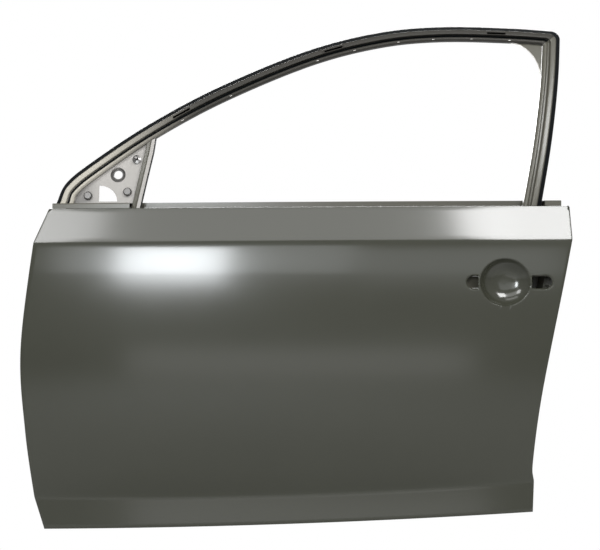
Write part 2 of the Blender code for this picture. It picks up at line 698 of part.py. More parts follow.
def inner_panel():
    sheet = Sheet()
    edge = edge_inset(skin_edge(PANEL_DROP), FOLD_RADIUS)
    wall = wall_path(skin_edge(PANEL_DROP))
    flange = sheet.add([(x, behind_skin(x, z, PANEL_LEVEL), z) for x, z in edge])
    outer = sheet.add([(x, behind_skin(x, z, PANEL_LEVEL), z) for x, z in wall])

    def level(x, z):
        return behind_skin(x, z, PANEL_LEVEL)

    creases = [(flange[i], [], outer[j]) for i, j in flange_ties(skin_edge(PANEL_DROP), wall)[1:-1]]
    sheet.region(flange + outer[::-1], level, creases=creases)
    levels = [lerp(level(x, z), inboard_y(x, z), SEAL_LAND_SHARE) for x, z in wall]
    seats = []
    proud = offset_path(wall, -SEAT_RISE)
    proud[0][1], proud[-1][1] = wall[0][1], wall[-1][1]
    for share in SEAT_SHARES:
        seats.append(sheet.add([(x, lerp(level(*q), y, share), z) for (x, z), q, y in zip(proud, wall, levels)]))
    step = sheet.add([(x, y, z) for (x, z), y in zip(wall, levels)])
    inset = offset_path(wall, SEAL_LAND)
    land = sheet.add([(x, y, z) for (x, z), y in zip(inset, levels)])
    inset = offset_path(wall, SEAL_LAND + WALL_DRAFT)
    face = sheet.add([(x, inboard_y(x, z), z) for x, z in inset])
    for low, high in zip([outer] + seats, seats + [step]):
        sheet.strip(low, high)
    sheet.strip(step, land)
    sheet.strip(land, face)

    xs = np.linspace(inset[-1][0], inset[0][0], 15)
    top = sheet.add([(x, inboard_y(x, belt_z(x)), belt_z(x) + INNER_RISE) for x in xs])
    loose = []
    for x in xs[1:-1]:
        for share in (0.0, 0.25, 0.5, 0.75, 1.0):
            loose.append((x, belt_z(x) - BELT_BAND - BELT_SLOPE * share, 0.0))
    loops, holes = [], []
    openings = [
        (box_corners(MODULE_X, MODULE_Z), OPENING_RADIUS),
        (box_corners(REAR_OPENING_X, REAR_OPENING_Z, -0.5 * SEAL_LAND), OPENING_RADIUS / 2),
        (box_corners(LOCK_OPENING_X, LOCK_OPENING_Z, SEAL_LAND), OPENING_RADIUS / 2),
    ]
    for corners, radius in openings:
        loops.append(rounded_loop(corners, radius, OPENING_LAND + OPENING_SET, 0.0))
        loops.append(rounded_loop(corners, radius, OPENING_LAND, -OPENING_SET))
        holes.append(rounded_loop(corners, radius, 0.0, -OPENING_SET))
    for grow, depth in ((OPENING_LAND + OPENING_SET, 0.0), (OPENING_LAND, -OPENING_SET)):
        radius = SPEAKER_RADIUS + grow
        loops.append(ellipse(SPEAKER_CENTRE, radius, radius, depth, 24))
    holes.append(ellipse(SPEAKER_CENTRE, SPEAKER_RADIUS, SPEAKER_RADIUS, -OPENING_SET, 24))

    def lift(x, z):
        return inboard_y(x, min(z, belt_z(x)))

    sheet.region(face + top, lift, loops, holes, loose)
    made = sheet.build("inner_panel", INNER_GAUGE, primer())
    settle_seats(made)
    y_axis, z_axis = (0, 1, 0), (0, 0, 1)
    bodies = []
    reach = (-3 * INNER_GAUGE, 0, 0), (3 * INNER_GAUGE, 0, 0)
    for z in HINGE_Z:
        for side in (-1, 1):
            spot = (WALL_X, 0.0, z + side * HINGE_BOLT_PITCH / 2)
            bodies.append(prism(ring_3d(spot, y_axis, z_axis, HINGE_BOLT_HOLE / 2, HOLE_SIDES), *reach))
    bodies.append(prism(slot_3d((WALL_X, 0, CHECK_Z), y_axis, z_axis, *CHECK_SLOT), *reach))
    for side in (-1, 1):
        spot = (WALL_X, 0.0, CHECK_Z + side * CHECK_BOLT_PITCH / 2)
        bodies.append(prism(ring_3d(spot, y_axis, z_axis, CHECK_BOLT_HOLE / 2, HOLE_SIDES), *reach))
    spot = (WALL_X, 0.0, HARNESS_Z)
    bodies.append(prism(ring_3d(spot, y_axis, z_axis, HARNESS_HOLE / 2, 2 * HOLE_SIDES), *reach))
    centre, up, out = latch_axes()
    reach = -4 * INNER_GAUGE * out, 4 * INNER_GAUGE * out
    bodies.append(prism(slot_3d(centre, y_axis, up, *LATCH_SLOT), *reach))
    for spot in latch_screws():
        bodies.append(prism(ring_3d(spot, y_axis, up, LATCH_SCREW_HOLE / 2, HOLE_SIDES), *reach))
    cut(made, *gather(bodies), "end_face_holes")
    return made


def settle_seats(made):
    """Give the panel its gauge, then put the points of its seats truly on their planes."""
    depsgraph = bpy.context.evaluated_depsgraph_get()
    mesh = bpy.data.meshes.new_from_object(made.evaluated_get(depsgraph))
    made.modifiers.clear()
    made.data = mesh
    centre, up, out = latch_axes()
    seat = centre + (SEAT_RISE + INNER_GAUGE) * out
    reach = (LATCH_Z[1] - LATCH_Z[0]) / 2 / up[2]
    for vertex in mesh.vertices:
        spot = np.array(vertex.co)
        if abs(spot[0] - HINGE_FACE_X) < SEAT_TOLERANCE:
            spot[0] = HINGE_FACE_X
        rise, lift_off = (spot - seat).dot(up), (spot - seat).dot(out)
        if abs(rise) < reach + GAP and abs(lift_off) < SEAT_TOLERANCE:
            spot = spot - lift_off * out
        vertex.co = spot


def latch_axes():
    """Centre of the latch seat on the rear wall, its upward direction and its outward normal."""
    low, high = ((along(REAR_EDGE, z) - FLANGE_REAR, z) for z in LATCH_Z)
    up = np.array((high[0] - low[0], 0.0, high[1] - low[1]))
    up = up / np.linalg.norm(up)
    x, z = (low[0] + high[0]) / 2, (low[1] + high[1]) / 2
    y = lerp(behind_skin(x, z, PANEL_LEVEL), inboard_y(x, z), SEAL_LAND_SHARE / 2)
    return np.array((x, y, z)), up, np.array((up[2], 0.0, -up[0]))


def latch_screws():
    centre, up, out = latch_axes()
    across = np.array((0, 1, 0))
    turns = (90, 215, 325)
    return [centre + LATCH_SCREW_RING * (0.6 * math.cos(math.radians(a)) * across
                                         + math.sin(math.radians(a)) * up) for a in turns]


def sheet_section(points, gauge):
    """Closed outline of a bent sheet in section, from its mid-line."""
    return offset_path(points, gauge / 2) + offset_path(points, -gauge / 2)[::-1]


def unit_right(a, b):
    """Unit vector to the right of the way from a to b."""
    step = (b - a) / np.linalg.norm(b - a)
    return np.array((step[1], -step[0]))


def rights(path, first=None, last=None):
    """Vector to the right at each point of a path, mitred. The end ones can be given."""
    out = []
    for i in range(len(path)):
        n0 = unit_right(path[max(i - 1, 0)], path[max(i, 1)])
        n1 = unit_right(path[min(i, len(path) - 2)], path[min(i + 1, len(path) - 1)])
        out.append((n0 + n1) / (1 + n0.dot(n1)))
    if first is not None:
        out[0] = first / first.dot(out[0])
    if last is not None:
        out[-1] = last / last.dot(out[-1])
    return out


def sweep(name, path, across, section, surface, finish):
    """Closed solid of a section swept along a plan path over a surface y(x, z).

    A section point is (distance across the path, depth behind the surface).
    """
    count = len(section)
    points, faces = [], []
    for q, n in zip(path, across):
        for s, depth in section:
            x, z = q + s * n
            points.append((x, surface(x, z) + depth, z))
    for i in range(len(path) - 1):
        for j in range(count):
            a, b = i * count + j, i * count + (j + 1) % count
            faces.append([a, b, b + count, a + count])
    faces.append(list(range(count)))
    faces.append(list(range(len(points) - 1, len(points) - count - 1, -1)))
    return new_object(name, points, faces, finish)


RAIL_SECTION = (
    (0.0, RAIL_DEPTH),
    (0.0, 0.58 * RAIL_DEPTH),
    (RAIL_FACE[0] - RAIL_GAUGE, 0.24 * RAIL_DEPTH),
    (RAIL_FACE[0], 0.0),
    (RAIL_FACE[1], 0.0),
    (RAIL_GROOVE[0], RAIL_GROOVE_DEPTH),
    (RAIL_GROOVE[1], RAIL_GROOVE_DEPTH),
    (RAIL_GROOVE[1] + RAIL_GAUGE, 0.3 * RAIL_GROOVE_DEPTH),
    (0.5 * (RAIL_GROOVE[1] + RAIL_WIDTH), 0.3 * RAIL_GROOVE_DEPTH),
    (RAIL_WIDTH, 0.7 * RAIL_GROOVE_DEPTH),
    (RAIL_WIDTH, RAIL_DEPTH),
)
FLANGE_LEVEL = RAIL_DEPTH + GAP + RAIL_GAUGE / 2
INNER_RAIL_SECTION = (
    (0.0, FLANGE_LEVEL),
    (0.20 * RAIL_WIDTH, FLANGE_LEVEL),
    (0.26 * RAIL_WIDTH, FLANGE_LEVEL + INNER_RAIL_RISE),
    (0.74 * RAIL_WIDTH, FLANGE_LEVEL + INNER_RAIL_RISE),
    (0.80 * RAIL_WIDTH, FLANGE_LEVEL),
    (RAIL_WIDTH, FLANGE_LEVEL),
)
HORIZONTAL = np.array((1.0, 0.0))


def header_path():
    path = curve_through(HEADER_EDGE, (3, 3, 3, 3, 3, 3, 3, 3, 3))
    path[0][1] = belt_z(path[0][0]) + LEDGE_RISE + GAP
    return path


def pillar_path():
    path = curve_through(PILLAR_EDGE, (3, 3, 3))
    foot = path[-1] + (path[-1] - path[-2]) * PILLAR_TAIL / np.linalg.norm(path[-1] - path[-2])
    return path + [foot]


def corner_fan(corner, before, after, mitre):
    """Points round the frame's corner, on the outer arc and on the small inner one."""
    turn = math.acos(float(before.dot(after)))
    right = np.array((before[1], -before[0]))
    fans = []
    for spot, radius in ((corner, FRAME_CORNER_RADIUS),
                         (corner + RAIL_WIDTH * mitre, FRAME_INNER_RADIUS)):
        centre = spot - before * radius * math.tan(turn / 2) + right * radius
        fans.append([centre + radius * (math.sin(a) * before - math.cos(a) * right)
                     for a in np.linspace(0, turn, 2 * CORNER_STEPS + 1)])
    return fans


def frame_paths():
    """Paths and across vectors of header and rear pillar, mitred at the middle of their corner.

    An across vector times RAIL_WIDTH reaches the inner edge, on the wider pillar too.
    """
    header, pillar = header_path(), pillar_path()
    corner = pillar[0]
    clear = max(PILLAR_WIDTH, FRAME_CORNER_RADIUS) + 2 * FRAME_INNER_RADIUS
    header = [q for q in header[:-1] if np.linalg.norm(q - corner) > clear]
    pillar = [q for q in pillar[1:] if np.linalg.norm(q - corner) > clear]
    before = (corner - header[-1]) / np.linalg.norm(corner - header[-1])
    after = (pillar[0] - corner) / np.linalg.norm(pillar[0] - corner)
    share = PILLAR_WIDTH / RAIL_WIDTH
    normals = unit_right(header[-1], corner), unit_right(corner, pillar[0])
    mitre = np.linalg.solve(normals, (1.0, share))
    outer, inner = corner_fan(corner, before, after, mitre)
    fan = [(b - a) / RAIL_WIDTH for a, b in zip(outer, inner)]
    half = CORNER_STEPS
    header_across = rights(header + [corner], HORIZONTAL)[:-1] + fan[:half + 1]
    pillar_across = fan[half:] + [share * n for n in rights([corner] + pillar, None, -HORIZONTAL)[1:]]
    header, pillar = header + outer[:half + 1], outer[half:] + pillar
    header[-1] = header[-1] - before * GAP
    pillar[0] = pillar[0] + after * GAP
    return header, header_across, pillar, pillar_across


def frame_edge(path, across, reach):
    return [q + n * reach for q, n in zip(path, across)]


def frame_slots(header):
    """Bodies of the long slots in the header's outer face."""
    lengths = np.concatenate(([0], np.cumsum([np.linalg.norm(b - a) for a, b in zip(header, header[1:])])))
    bodies = []
    for share in SLOT_SHARES:
        at = share * lengths[-1]
        ends = [np.array([np.interp(at + side * SLOT_LENGTH / 2, lengths, [q[k] for q in header])
                          for k in (0, 1)]) for side in (-1, 1)]
        n = unit_right(ends[0], ends[1])
        middle = lerp(RAIL_FACE[0], RAIL_FACE[1], SLOT_PLACE)
        loop = []
        for q, s in ((0, -1), (1, -1), (1, 1), (0, 1)):
            x, z = ends[q] + n * (middle + s * SLOT_WIDTH / 2)
            loop.append((x, frame_y(x, z), z))
        bodies.append(prism(loop, (0, -4 * RAIL_GAUGE, 0), (0, 4 * RAIL_GAUGE, 0)))
    return bodies


def window_frame():
    header, header_across, pillar, pillar_across = frame_paths()
    outer = sheet_section(RAIL_SECTION, RAIL_GAUGE)
    closing = sheet_section(INNER_RAIL_SECTION, RAIL_GAUGE)
    made = sweep("header_rail", header, header_across, outer, frame_y, dark_primer())
    cut(made, *gather(frame_slots(header)), "header_slots")
    sweep("header_inner_rail", header, header_across, closing, frame_y, primer())
    sweep("rear_pillar_rail", pillar, pillar_across, outer, frame_y, primer())
    sweep("rear_pillar_inner_rail", pillar, pillar_across, closing, frame_y, primer())


def plate_from_loop(name, loop, surface, depth, gauge, finish, loops=(), holes=(), flanges=()):
    """Sheet plate inside a plan loop. A flange is (first, last, direction) off part of its edge."""
    sheet = Sheet()
    rim = sheet.add([(x, surface(x, z) + depth, z) for x, z in loop])

    def lift(x, z):
        return surface(x, z) + depth

    sheet.region(rim, lift, loops, holes)
    for first, last, direction in flanges:
        chosen = rim[first:last + 1]
        fold = sheet.add([np.array(sheet.points[i]) + np.array(direction) for i in chosen])
        sheet.strip(fold, chosen)
    return sheet.build(name, gauge, finish)


def corner_gusset():
    header, header_across, pillar, pillar_across = frame_paths()
    reach = RAIL_WIDTH + RAIL_GAUGE / 2 + GAP
    upper, side = frame_edge(header, header_across, reach), frame_edge(pillar, pillar_across, reach)
    corner = upper[-1]
    start = np.array((corner[0] - GUSSET_REACH, 0.0))
    start[1] = np.interp(start[0], [q[0] for q in upper], [q[1] for q in upper])
    end = np.array((0.0, corner[1] - GUSSET_REACH))
    end[0] = np.interp(-end[1], [-q[1] for q in side], [q[0] for q in side])
    centre = np.array((start[0], end[1]))
    half_x, half_z = end[0] - centre[0], start[1] - centre[1]
    arc = [centre + np.array((half_x * math.cos(a), half_z * math.sin(a)))
           for a in np.linspace(0, math.pi / 2, 13)]
    top = [q for q in upper[:-1] if q[0] > start[0] + GAP]
    down = [q for q in side[1:] if q[1] > end[1] + GAP]
    loop = arc + top + [corner + np.array((-GAP, -GAP))] + down
    count = len(arc)
    plate_from_loop("frame_corner_gusset", loop[::-1], frame_y, GUSSET_DEPTH, RAIL_GAUGE, primer(),
                    flanges=[(len(loop) - count + 2, len(loop) - 3, (0, GUSSET_LIP, 0))])


def divider_x(z):
    """Front side of the divider bar, which leans back as it rises."""
    belt = belt_z(DIVIDER_BELT_X)
    header, header_across = frame_paths()[:2]
    inner = frame_edge(header, header_across, RAIL_WIDTH)
    top = np.interp(DIVIDER_TOP_X, [q[0] for q in inner], [q[1] for q in inner])
    return DIVIDER_BELT_X + (DIVIDER_TOP_X - DIVIDER_BELT_X) * (z - belt) / (top - belt)


def divider_bar():
    header, header_across = frame_paths()[:2]
    inner = frame_edge(header, header_across, RAIL_WIDTH + RAIL_GAUGE / 2 + GAP)
    xs, zs = [q[0] for q in inner], [q[1] for q in inner]
    left = DIVIDER_TOP_X
    top = np.array((left, np.interp(left, xs, zs)))
    right = np.array((left + DIVIDER_WIDTH, np.interp(left + DIVIDER_WIDTH, xs, zs)))
    slope = (right - top) / DIVIDER_WIDTH
    low = belt_z(DIVIDER_BELT_X) - DIVIDER_TAIL
    path = [top] + [np.array((divider_x(z), z)) for z in np.linspace(top[1] - DIVIDER_WIDTH, low, 12)]
    across = [slope] + [HORIZONTAL] * (len(path) - 1)
    half = DIVIDER_WIDTH / 2
    edge = RAIL_GAUGE / 2
    section = (
        (edge, DIVIDER_DEPTH),
        (edge, DIVIDER_LEVELS[0]),
        (half - RAIL_GAUGE, DIVIDER_LEVELS[1]),
        (half, DIVIDER_LEVELS[2]),
        (DIVIDER_WIDTH - edge, DIVIDER_LEVELS[3]),
        (DIVIDER_WIDTH - edge, DIVIDER_DEPTH),
    )
    sweep("divider_bar", path, across, sheet_section(section, RAIL_GAUGE), frame_y, primer())


def ledge_top(x):
    return belt_z(x) + LEDGE_RISE


def mirror_plate():
    header, header_across = frame_paths()[:2]
    inner = frame_edge(header, header_across, RAIL_WIDTH + RAIL_GAUGE / 2 + GAP)
    base = ledge_top(DIVIDER_BELT_X) + GAP
    foot = np.array((np.interp(base, [q[1] for q in inner[:8]], [q[0] for q in inner[:8]]), base))

    def free(q):
        return q[1] > base + GAP and q[0] < divider_x(q[1]) - 2 * RAIL_GAUGE

    slope = [q for q in inner if free(q)]
    last = inner[len([q for q in inner if q[1] <= base + GAP]) + len(slope)]
    tip = slope[-1]
    for t in np.linspace(0, 1, 40):
        q = lerp(slope[-1], last, t)
        if q[0] < divider_x(q[1]) - GAP:
            tip = q
    rear = np.array((divider_x(base) - GAP, base))
    loop = [foot] + slope + [tip, rear]
    x0, x1 = CABLE_CUTOUT_X
    floor = base + CABLE_CUTOUT_SILL
    arch = [(x0, floor, 0.0), (x1, floor, 0.0)]
    for a in np.linspace(0, math.pi / 2, 7)[1:]:
        arch.append((x0 + (x1 - x0) * math.cos(a), floor + CABLE_CUTOUT_HEIGHT * math.sin(a), 0.0))
    loops = [ellipse(MIRROR_BOSS, MIRROR_BOSS_RADIUS, MIRROR_BOSS_RADIUS, 0.0, 18),
             ellipse(MIRROR_BOSS, 0.75 * MIRROR_BOSS_RADIUS, 0.75 * MIRROR_BOSS_RADIUS, MIRROR_BOSS_DEPTH, 18)]
    holes = [ellipse(MIRROR_BOSS, MIRROR_BORE_RADIUS, MIRROR_BORE_RADIUS, MIRROR_BOSS_DEPTH, 18), arch]
    plate_from_loop("mirror_plate", loop[::-1], frame_y, PLATE_SET_BACK, BRACKET_GAUGE, primer(),
                    loops, holes)


def turned(name, centre, direction, profile, finish, sides=16):
    """Turned piece: rings of (radius, height) along a direction, its ends closed."""
    direction = np.array(direction, float) / np.linalg.norm(direction)
    across = np.cross(direction, (0.0, 0.0, 1.0))
    if np.linalg.norm(across) < 0.1:
        across = np.cross(direction, (0.0, 1.0, 0.0))
    across = across / np.linalg.norm(across)
    up = np.cross(direction, across)
    points, faces = [], []
    for radius, height in profile:
        points += ring_3d(np.array(centre) + direction * height, across, up, radius, sides)
    for i in range(len(profile) - 1):
        for j in range(sides):
            a, b = i * sides + j, i * sides + (j + 1) % sides
            faces.append([a, b, b + sides, a + sides])
    faces.append(list(range(sides)))
    faces.append(list(range(len(points) - 1, len(points) - sides - 1, -1)))
    return new_object(name, points, faces, finish)


def frame_normal(x, z):
    """Outward unit normal of the window frame's face."""
    h = 0.002
    dx = (frame_y(x + h, z) - frame_y(x - h, z)) / (2 * h)
    dz = (frame_y(x, z + h) - frame_y(x, z - h)) / (2 * h)
    n = np.array((dx, -1.0, dz))
    return n / np.linalg.norm(n)


def mirror_fixings():
    """Weld nuts on the mirror plate's outer face, and the stud at its top."""
    r = FIXING_RADIUS
    stud = ((1.8 * r, GAP), (1.8 * r, 0.4 * r), (r, 0.7 * r), (0.7 * r, 0.8 * r), (0.7 * r, 2.4 * r),
            (0.5 * r, 2.6 * r))
    nut = ((1.7 * r, GAP), (1.7 * r, 0.9 * r), (1.3 * r, 1.3 * r), (0.9 * r, 1.3 * r))
    for name, spot, profile in (("mirror_stud_top", STUD_TOP, stud), ("mirror_nut_front", NUT_FRONT, nut),
                                ("mirror_nut_rear", NUT_REAR, nut)):
        n = frame_normal(*spot)
        seat = np.array((spot[0], frame_y(*spot) + PLATE_SET_BACK, spot[1]))
        turned(name, seat, n, profile, bare_steel())


def belt_ledge(name, x0, x1):
    """End plate of the belt: a top with a front flange, from the skin to the inner panel."""
    sheet = Sheet()
    rows = []
    for x in np.linspace(x0, x1, 5):
        top = ledge_top(x)
        front = skin_y(x, belt_z(x) - BELT_FOLD) + LEDGE_SET_BACK
        back = inboard_y(x, belt_z(x)) - GAP
        rows.append([(x, front, belt_z(x) + GAP), (x, front, top - LEDGE_FOLD),
                     (x, front + LEDGE_FOLD, top), (x, back, top)])
    columns = [sheet.add([row[k] for row in rows]) for k in range(4)]
    for low, high in zip(columns, columns[1:]):
        sheet.strip(low, high)
    sheet.build(name, RAIL_GAUGE, primer())


def belt_ledges():
    belt_ledge("belt_end_plate_front", wall_path(skin_edge(BELT_FOLD))[0][0] - FLANGE_FRONT / 2,
               DIVIDER_BELT_X - LEDGE_END_GAP)
    pillar = frame_paths()[2]
    edge = np.interp(-ledge_top(BELT_REAR[0]), [-q[1] for q in pillar], [q[0] for q in pillar])
    belt_ledge("belt_end_plate_rear", edge + LEDGE_END_GAP, along(REAR_EDGE, BELT_REAR[1]) - 2 * HEM_WIDTH)


def end_plate(name, seat, across, up, inward, size, turn_in, bolts, slots=()):
    """Flat plate against an end face, its upper and lower edges turned in, with its holes."""
    seat, across, up, inward = (np.array(v, float) for v in (seat, across, up, inward))
    half, tall = size[0] / 2, size[1] / 2
    profile = [(turn_in, -tall), (0.0, -tall), (0.0, tall), (turn_in, tall)]
    section = sheet_section(profile, BRACKET_GAUGE)
    shift = inward * (GAP + BRACKET_GAUGE / 2)
    loop = [seat + shift + inward * a + up * b for a, b in section]
    points, faces = prism(loop, -half * across, half * across)
    made = new_object(name, points, faces, primer())
    reach = -3 * BRACKET_GAUGE * inward, 3 * BRACKET_GAUGE * inward
    bodies = [prism(ring_3d(spot, across, up, hole / 2, HOLE_SIDES), *reach) for spot, hole in bolts]
    bodies += [prism(slot_3d(spot, across, up, *wide), *reach) for spot, wide in slots]
    cut(made, *gather(bodies), name + "_holes")
    return made


def front_reinforcements():
    along_y, along_z, inward = (0, 1, 0), (0, 0, 1), (1, 0, 0)
    for name, z in zip(("upper", "lower"), HINGE_Z):
        seat = (WALL_X, HINGE_PLATE_Y, z)
        spots = [(WALL_X, 0.0, z + side * HINGE_BOLT_PITCH / 2) for side in (-1, 1)]
        bolts = [(spot, HINGE_BOLT_HOLE) for spot in spots]
        end_plate("hinge_reinforcement_" + name, seat, along_y, along_z, inward, HINGE_PLATE,
                  HINGE_PLATE_RETURN, bolts)
        seat = (WALL_X + 2 * GAP + BRACKET_GAUGE, 0.0, z)
        loop = slot_3d(seat, along_y, along_z, *NUT_PLATE)
        made = new_object("hinge_nut_plate_" + name, *prism(loop, (0, 0, 0), (NUT_PLATE_THICKNESS, 0, 0)),
                          bare_steel())
        reach = (-GAP, 0, 0), (2 * NUT_PLATE_THICKNESS, 0, 0)
        centres = [(seat[0], spot[1], spot[2]) for spot in spots]
        bodies = [prism(ring_3d(spot, along_y, along_z, 0.4 * HINGE_BOLT_HOLE, HOLE_SIDES), *reach)
                  for spot in centres]
        cut(made, *gather(bodies), "nut_plate_holes_" + name)
    bolts = [((WALL_X, 0.0, CHECK_Z + side * CHECK_BOLT_PITCH / 2), CHECK_BOLT_HOLE) for side in (-1, 1)]
    end_plate("door_check_reinforcement", (WALL_X, HINGE_PLATE_Y, CHECK_Z), along_y, along_z, inward,
              CHECK_PLATE, HINGE_PLATE_RETURN / 2, bolts, [((WALL_X, 0.0, CHECK_Z), CHECK_SLOT)])


def latch_reinforcement():
    centre, up, out = latch_axes()
    end_plate("latch_reinforcement", centre, (0, 1, 0), up, -out, LATCH_PLATE, HINGE_PLATE_RETURN / 2,
              [(spot, LATCH_SCREW_HOLE) for spot in latch_screws()], [(centre, LATCH_SLOT)])


def sheet_rows(name, rows, gauge, finish):
    """Sheet through rows of 3-D points."""
    sheet = Sheet()
    indices = [sheet.add(row) for row in rows]
    for low, high in zip(indices, indices[1:]):
        sheet.strip(low, high)
    return sheet.build(name, gauge, finish)


BEAM_LEVEL = SKIN_GAUGE + BEAM_STAND_OFF


def intrusion_beam():
    front, rear = np.array(BEAM_FRONT), np.array(BEAM_REAR)
    step = (rear - front) / np.linalg.norm(rear - front)
    up = np.array((-step[1], step[0]))
    half = BEAM_HALF_WIDTH
    section = ((-1.0, 1.0), (-0.68, 1.0), (-0.52, 0.0), (-0.16, 0.0), (0.0, 0.6), (0.16, 0.0), (0.52, 0.0),
               (0.68, 1.0), (1.0, 1.0))
    rows = []
    for share, set_in in section:
        row = []
        for t in np.linspace(0, 1, 17):
            x, z = lerp(front, rear, t) + up * share * half
            row.append((x, behind_skin(x, z, BEAM_LEVEL + set_in * BEAM_DEPTH), z))
        rows.append(row)
    sheet_rows("intrusion_beam", rows, BRACKET_GAUGE, primer())
    for k, share in enumerate(MASTIC_SHARES, 1):
        x, z = lerp(front, rear, share) + up * 0.34 * half
        low, high = SKIN_GAUGE + GAP, BEAM_LEVEL - GAP
        loop = [(x + MASTIC_RADIUS * math.cos(a), z + MASTIC_RADIUS * math.sin(a))
                for a in np.linspace(0, 2 * math.pi, 13)[:-1]]
        points = [(a, behind_skin(a, b, level), b) for level in (low, high) for a, b in loop]
        count = len(loop)
        faces = [list(range(count)), list(range(2 * count - 1, count - 1, -1))]
        faces += [[i, (i + 1) % count, count + (i + 1) % count, count + i] for i in range(count)]
        new_object("beam_mastic_pad_%d" % k, points, faces, mastic())


def beam_brackets():
    """Angles that carry the beam's ends on the front and rear walls."""
    level = BEAM_LEVEL + BEAM_DEPTH + BRACKET_GAUGE + GAP
    width, height = BEAM_BRACKET
    for name, z, side in (("front", BEAM_FRONT[1], 1), ("rear", BEAM_REAR[1], -1)):
        rows = []
        zs = np.linspace(z - height / 2, z + height / 2, 4)
        wall = [WALL_X + GAP if side > 0 else along(REAR_EDGE, h) - FLANGE_REAR - 2 * GAP for h in zs]
        for reach, turn in ((0.0, BEAM_BRACKET_RETURN), (0.0, 0.0), (0.35, 0.0), (0.7, 0.0), (1.0, 0.0)):
            row = []
            for x, h in zip(wall, zs):
                x = x + side * reach * width
                row.append((x, behind_skin(x, h, level) + turn, h))
            rows.append(row)
        if side > 0:
            rows = [row[::-1] for row in rows]
        sheet_rows("beam_bracket_" + name, rows, BRACKET_GAUGE, primer())


def belt_reinforcements():
    front = wall_path(skin_edge(PANEL_DROP))[0][0] + BELT_STRIP_END
    pillar, pillar_across = frame_paths()[2:]
    rear = wall_path(skin_edge(PANEL_DROP))[-1][0] - BELT_STRIP_END
    top = BELT_FOLD + BELT_LIP
    level = SKIN_GAUGE + GAP
    section = ((1.0, level), (0.85, level), (0.65, BELT_STRIP_DEPTH), (0.25, BELT_STRIP_DEPTH), (0.05, 0.5 *
               BELT_STRIP_DEPTH), (0.0, 0.5 * BELT_STRIP_DEPTH))
    rows = []
    for share, depth in section:
        row = []
        for x in np.linspace(front, rear, 15):
            z = belt_z(x) - top - share * BELT_STRIP_HEIGHT
            row.append((x, behind_skin(x, z, depth), z))
        rows.append(row)
    sheet_rows("belt_reinforcement_outer", rows, RAIL_GAUGE, primer())
    foot = pillar[-1] + pillar_across[-1] * RAIL_WIDTH
    inner_rear = foot[0] - BELT_STRIP_END / 2
    rows = []
    section = ((1.0, GAP), (0.85, GAP), (0.65, INNER_STRIP_DEPTH), (0.35, INNER_STRIP_DEPTH), (0.15, GAP),
               (0.0, GAP))
    for share, depth in section:
        row = []
        for x in np.linspace(front + BELT_STRIP_END, inner_rear, 15):
            z = belt_z(x) - share * BELT_STRIP_HEIGHT
            row.append((x, inboard_y(x, z) - depth - RAIL_GAUGE, z))
        rows.append(row)
    sheet_rows("belt_reinforcement_inner", rows, RAIL_GAUGE, primer())


def glass_guide():
    """Channel for the window's rear edge, from the pillar's foot down to its bracket."""
    pillar, pillar_across = frame_paths()[2:]
    start = pillar[-1] + pillar_across[-1] * 0.6 * RAIL_WIDTH
    foot = np.array(GUIDE_FOOT)
    start = start + (foot - start) * GAP / np.linalg.norm(foot - start)
    middle = (start + foot) / 2 + GUIDE_BOW * HORIZONTAL
    path = curve_through((start, middle, foot), (4, 4))
    across = rights(path, -HORIZONTAL)
    edge = RAIL_GAUGE / 2
    section = ((GUIDE_WIDTH, GUIDE_SET_BACK + edge), (edge, GUIDE_SET_BACK + edge),
               (edge, GUIDE_SET_BACK + GUIDE_DEPTH - edge),
               (GUIDE_WIDTH, GUIDE_SET_BACK + GUIDE_DEPTH - edge))
    sweep("rear_glass_guide", path, across, sheet_section(section, RAIL_GAUGE), frame_y, primer())
    return path


def angle_bracket(name, x, z, width, height, depth):
    """Angle from a guide's inboard side to the cavity side of the inner panel."""
    zs = np.linspace(z - height / 2, z + height / 2, 3)
    rows = [[(x + a, frame_y(x, h) + depth + 2 * GAP, h) for h in zs] for a in (-width, 0.0)]
    rows += [[(x + a, inboard_y(x + a, h) - GAP - BRACKET_GAUGE, h) for h in zs]
             for a in (0.4 * width, 1.4 * width)]
    sheet_rows(name, [row[::-1] for row in rows], BRACKET_GAUGE, primer())


def guide_brackets():
    path = glass_guide()
    height = 2 * GUIDE_WIDTH
    x, z = path[-1] + np.array((0.0, GUIDE_WIDTH + 2 * BRACKET_GAUGE))
    angle_bracket("rear_guide_bracket", x, z, GUIDE_WIDTH, height, GUIDE_SET_BACK + GUIDE_DEPTH)
    z = belt_z(DIVIDER_BELT_X) - DIVIDER_TAIL + height
    angle_bracket("divider_bracket", divider_x(z) + DIVIDER_WIDTH / 2, z, GUIDE_WIDTH / 2, height,
                  DIVIDER_DEPTH)


def handle_reinforcement():
    """Plate behind the handle recess, bulged clear of the dish, with two cut-outs."""
    cx, cz = BOWL_CENTRE
    reach = BOWL_LENGTH / 2 + CUTOUT_BRIDGE
    front = cx - reach - FRONT_CUTOUT_LENGTH
    rear = cx + reach + REAR_CUTOUT_LENGTH
    level = SKIN_GAUGE + GAP
    margin = HANDLE_PLATE_MARGIN
    plan = [(front - 3 * margin, level), (front - margin, level), (front - 0.5 * margin, 0.5 * BOWL_DEPTH),
            (cx - reach, BOWL_DEPTH + 4 * level), (cx, BOWL_DEPTH + 4 * level),
            (cx + reach, BOWL_DEPTH + 4 * level)]
    rows = []
    for share in (-1.0, 0.0, 1.0):
        z = cz + share * CUTOUT_HEIGHT * 0.4
        rows.append([(x, behind_skin(x, z, depth), z) for x, depth in plan])
    sheet_rows("handle_reinforcement", rows, BRACKET_GAUGE, primer())


clear_scene()
outer_panel()
inner_panel()
window_frame()
corner_gusset()
divider_bar()
mirror_plate()
mirror_fixings()
belt_ledges()
front_reinforcements()
latch_reinforcement()
intrusion_beam()
beam_brackets()
belt_reinforcements()
guide_brackets()
handle_reinforcement()
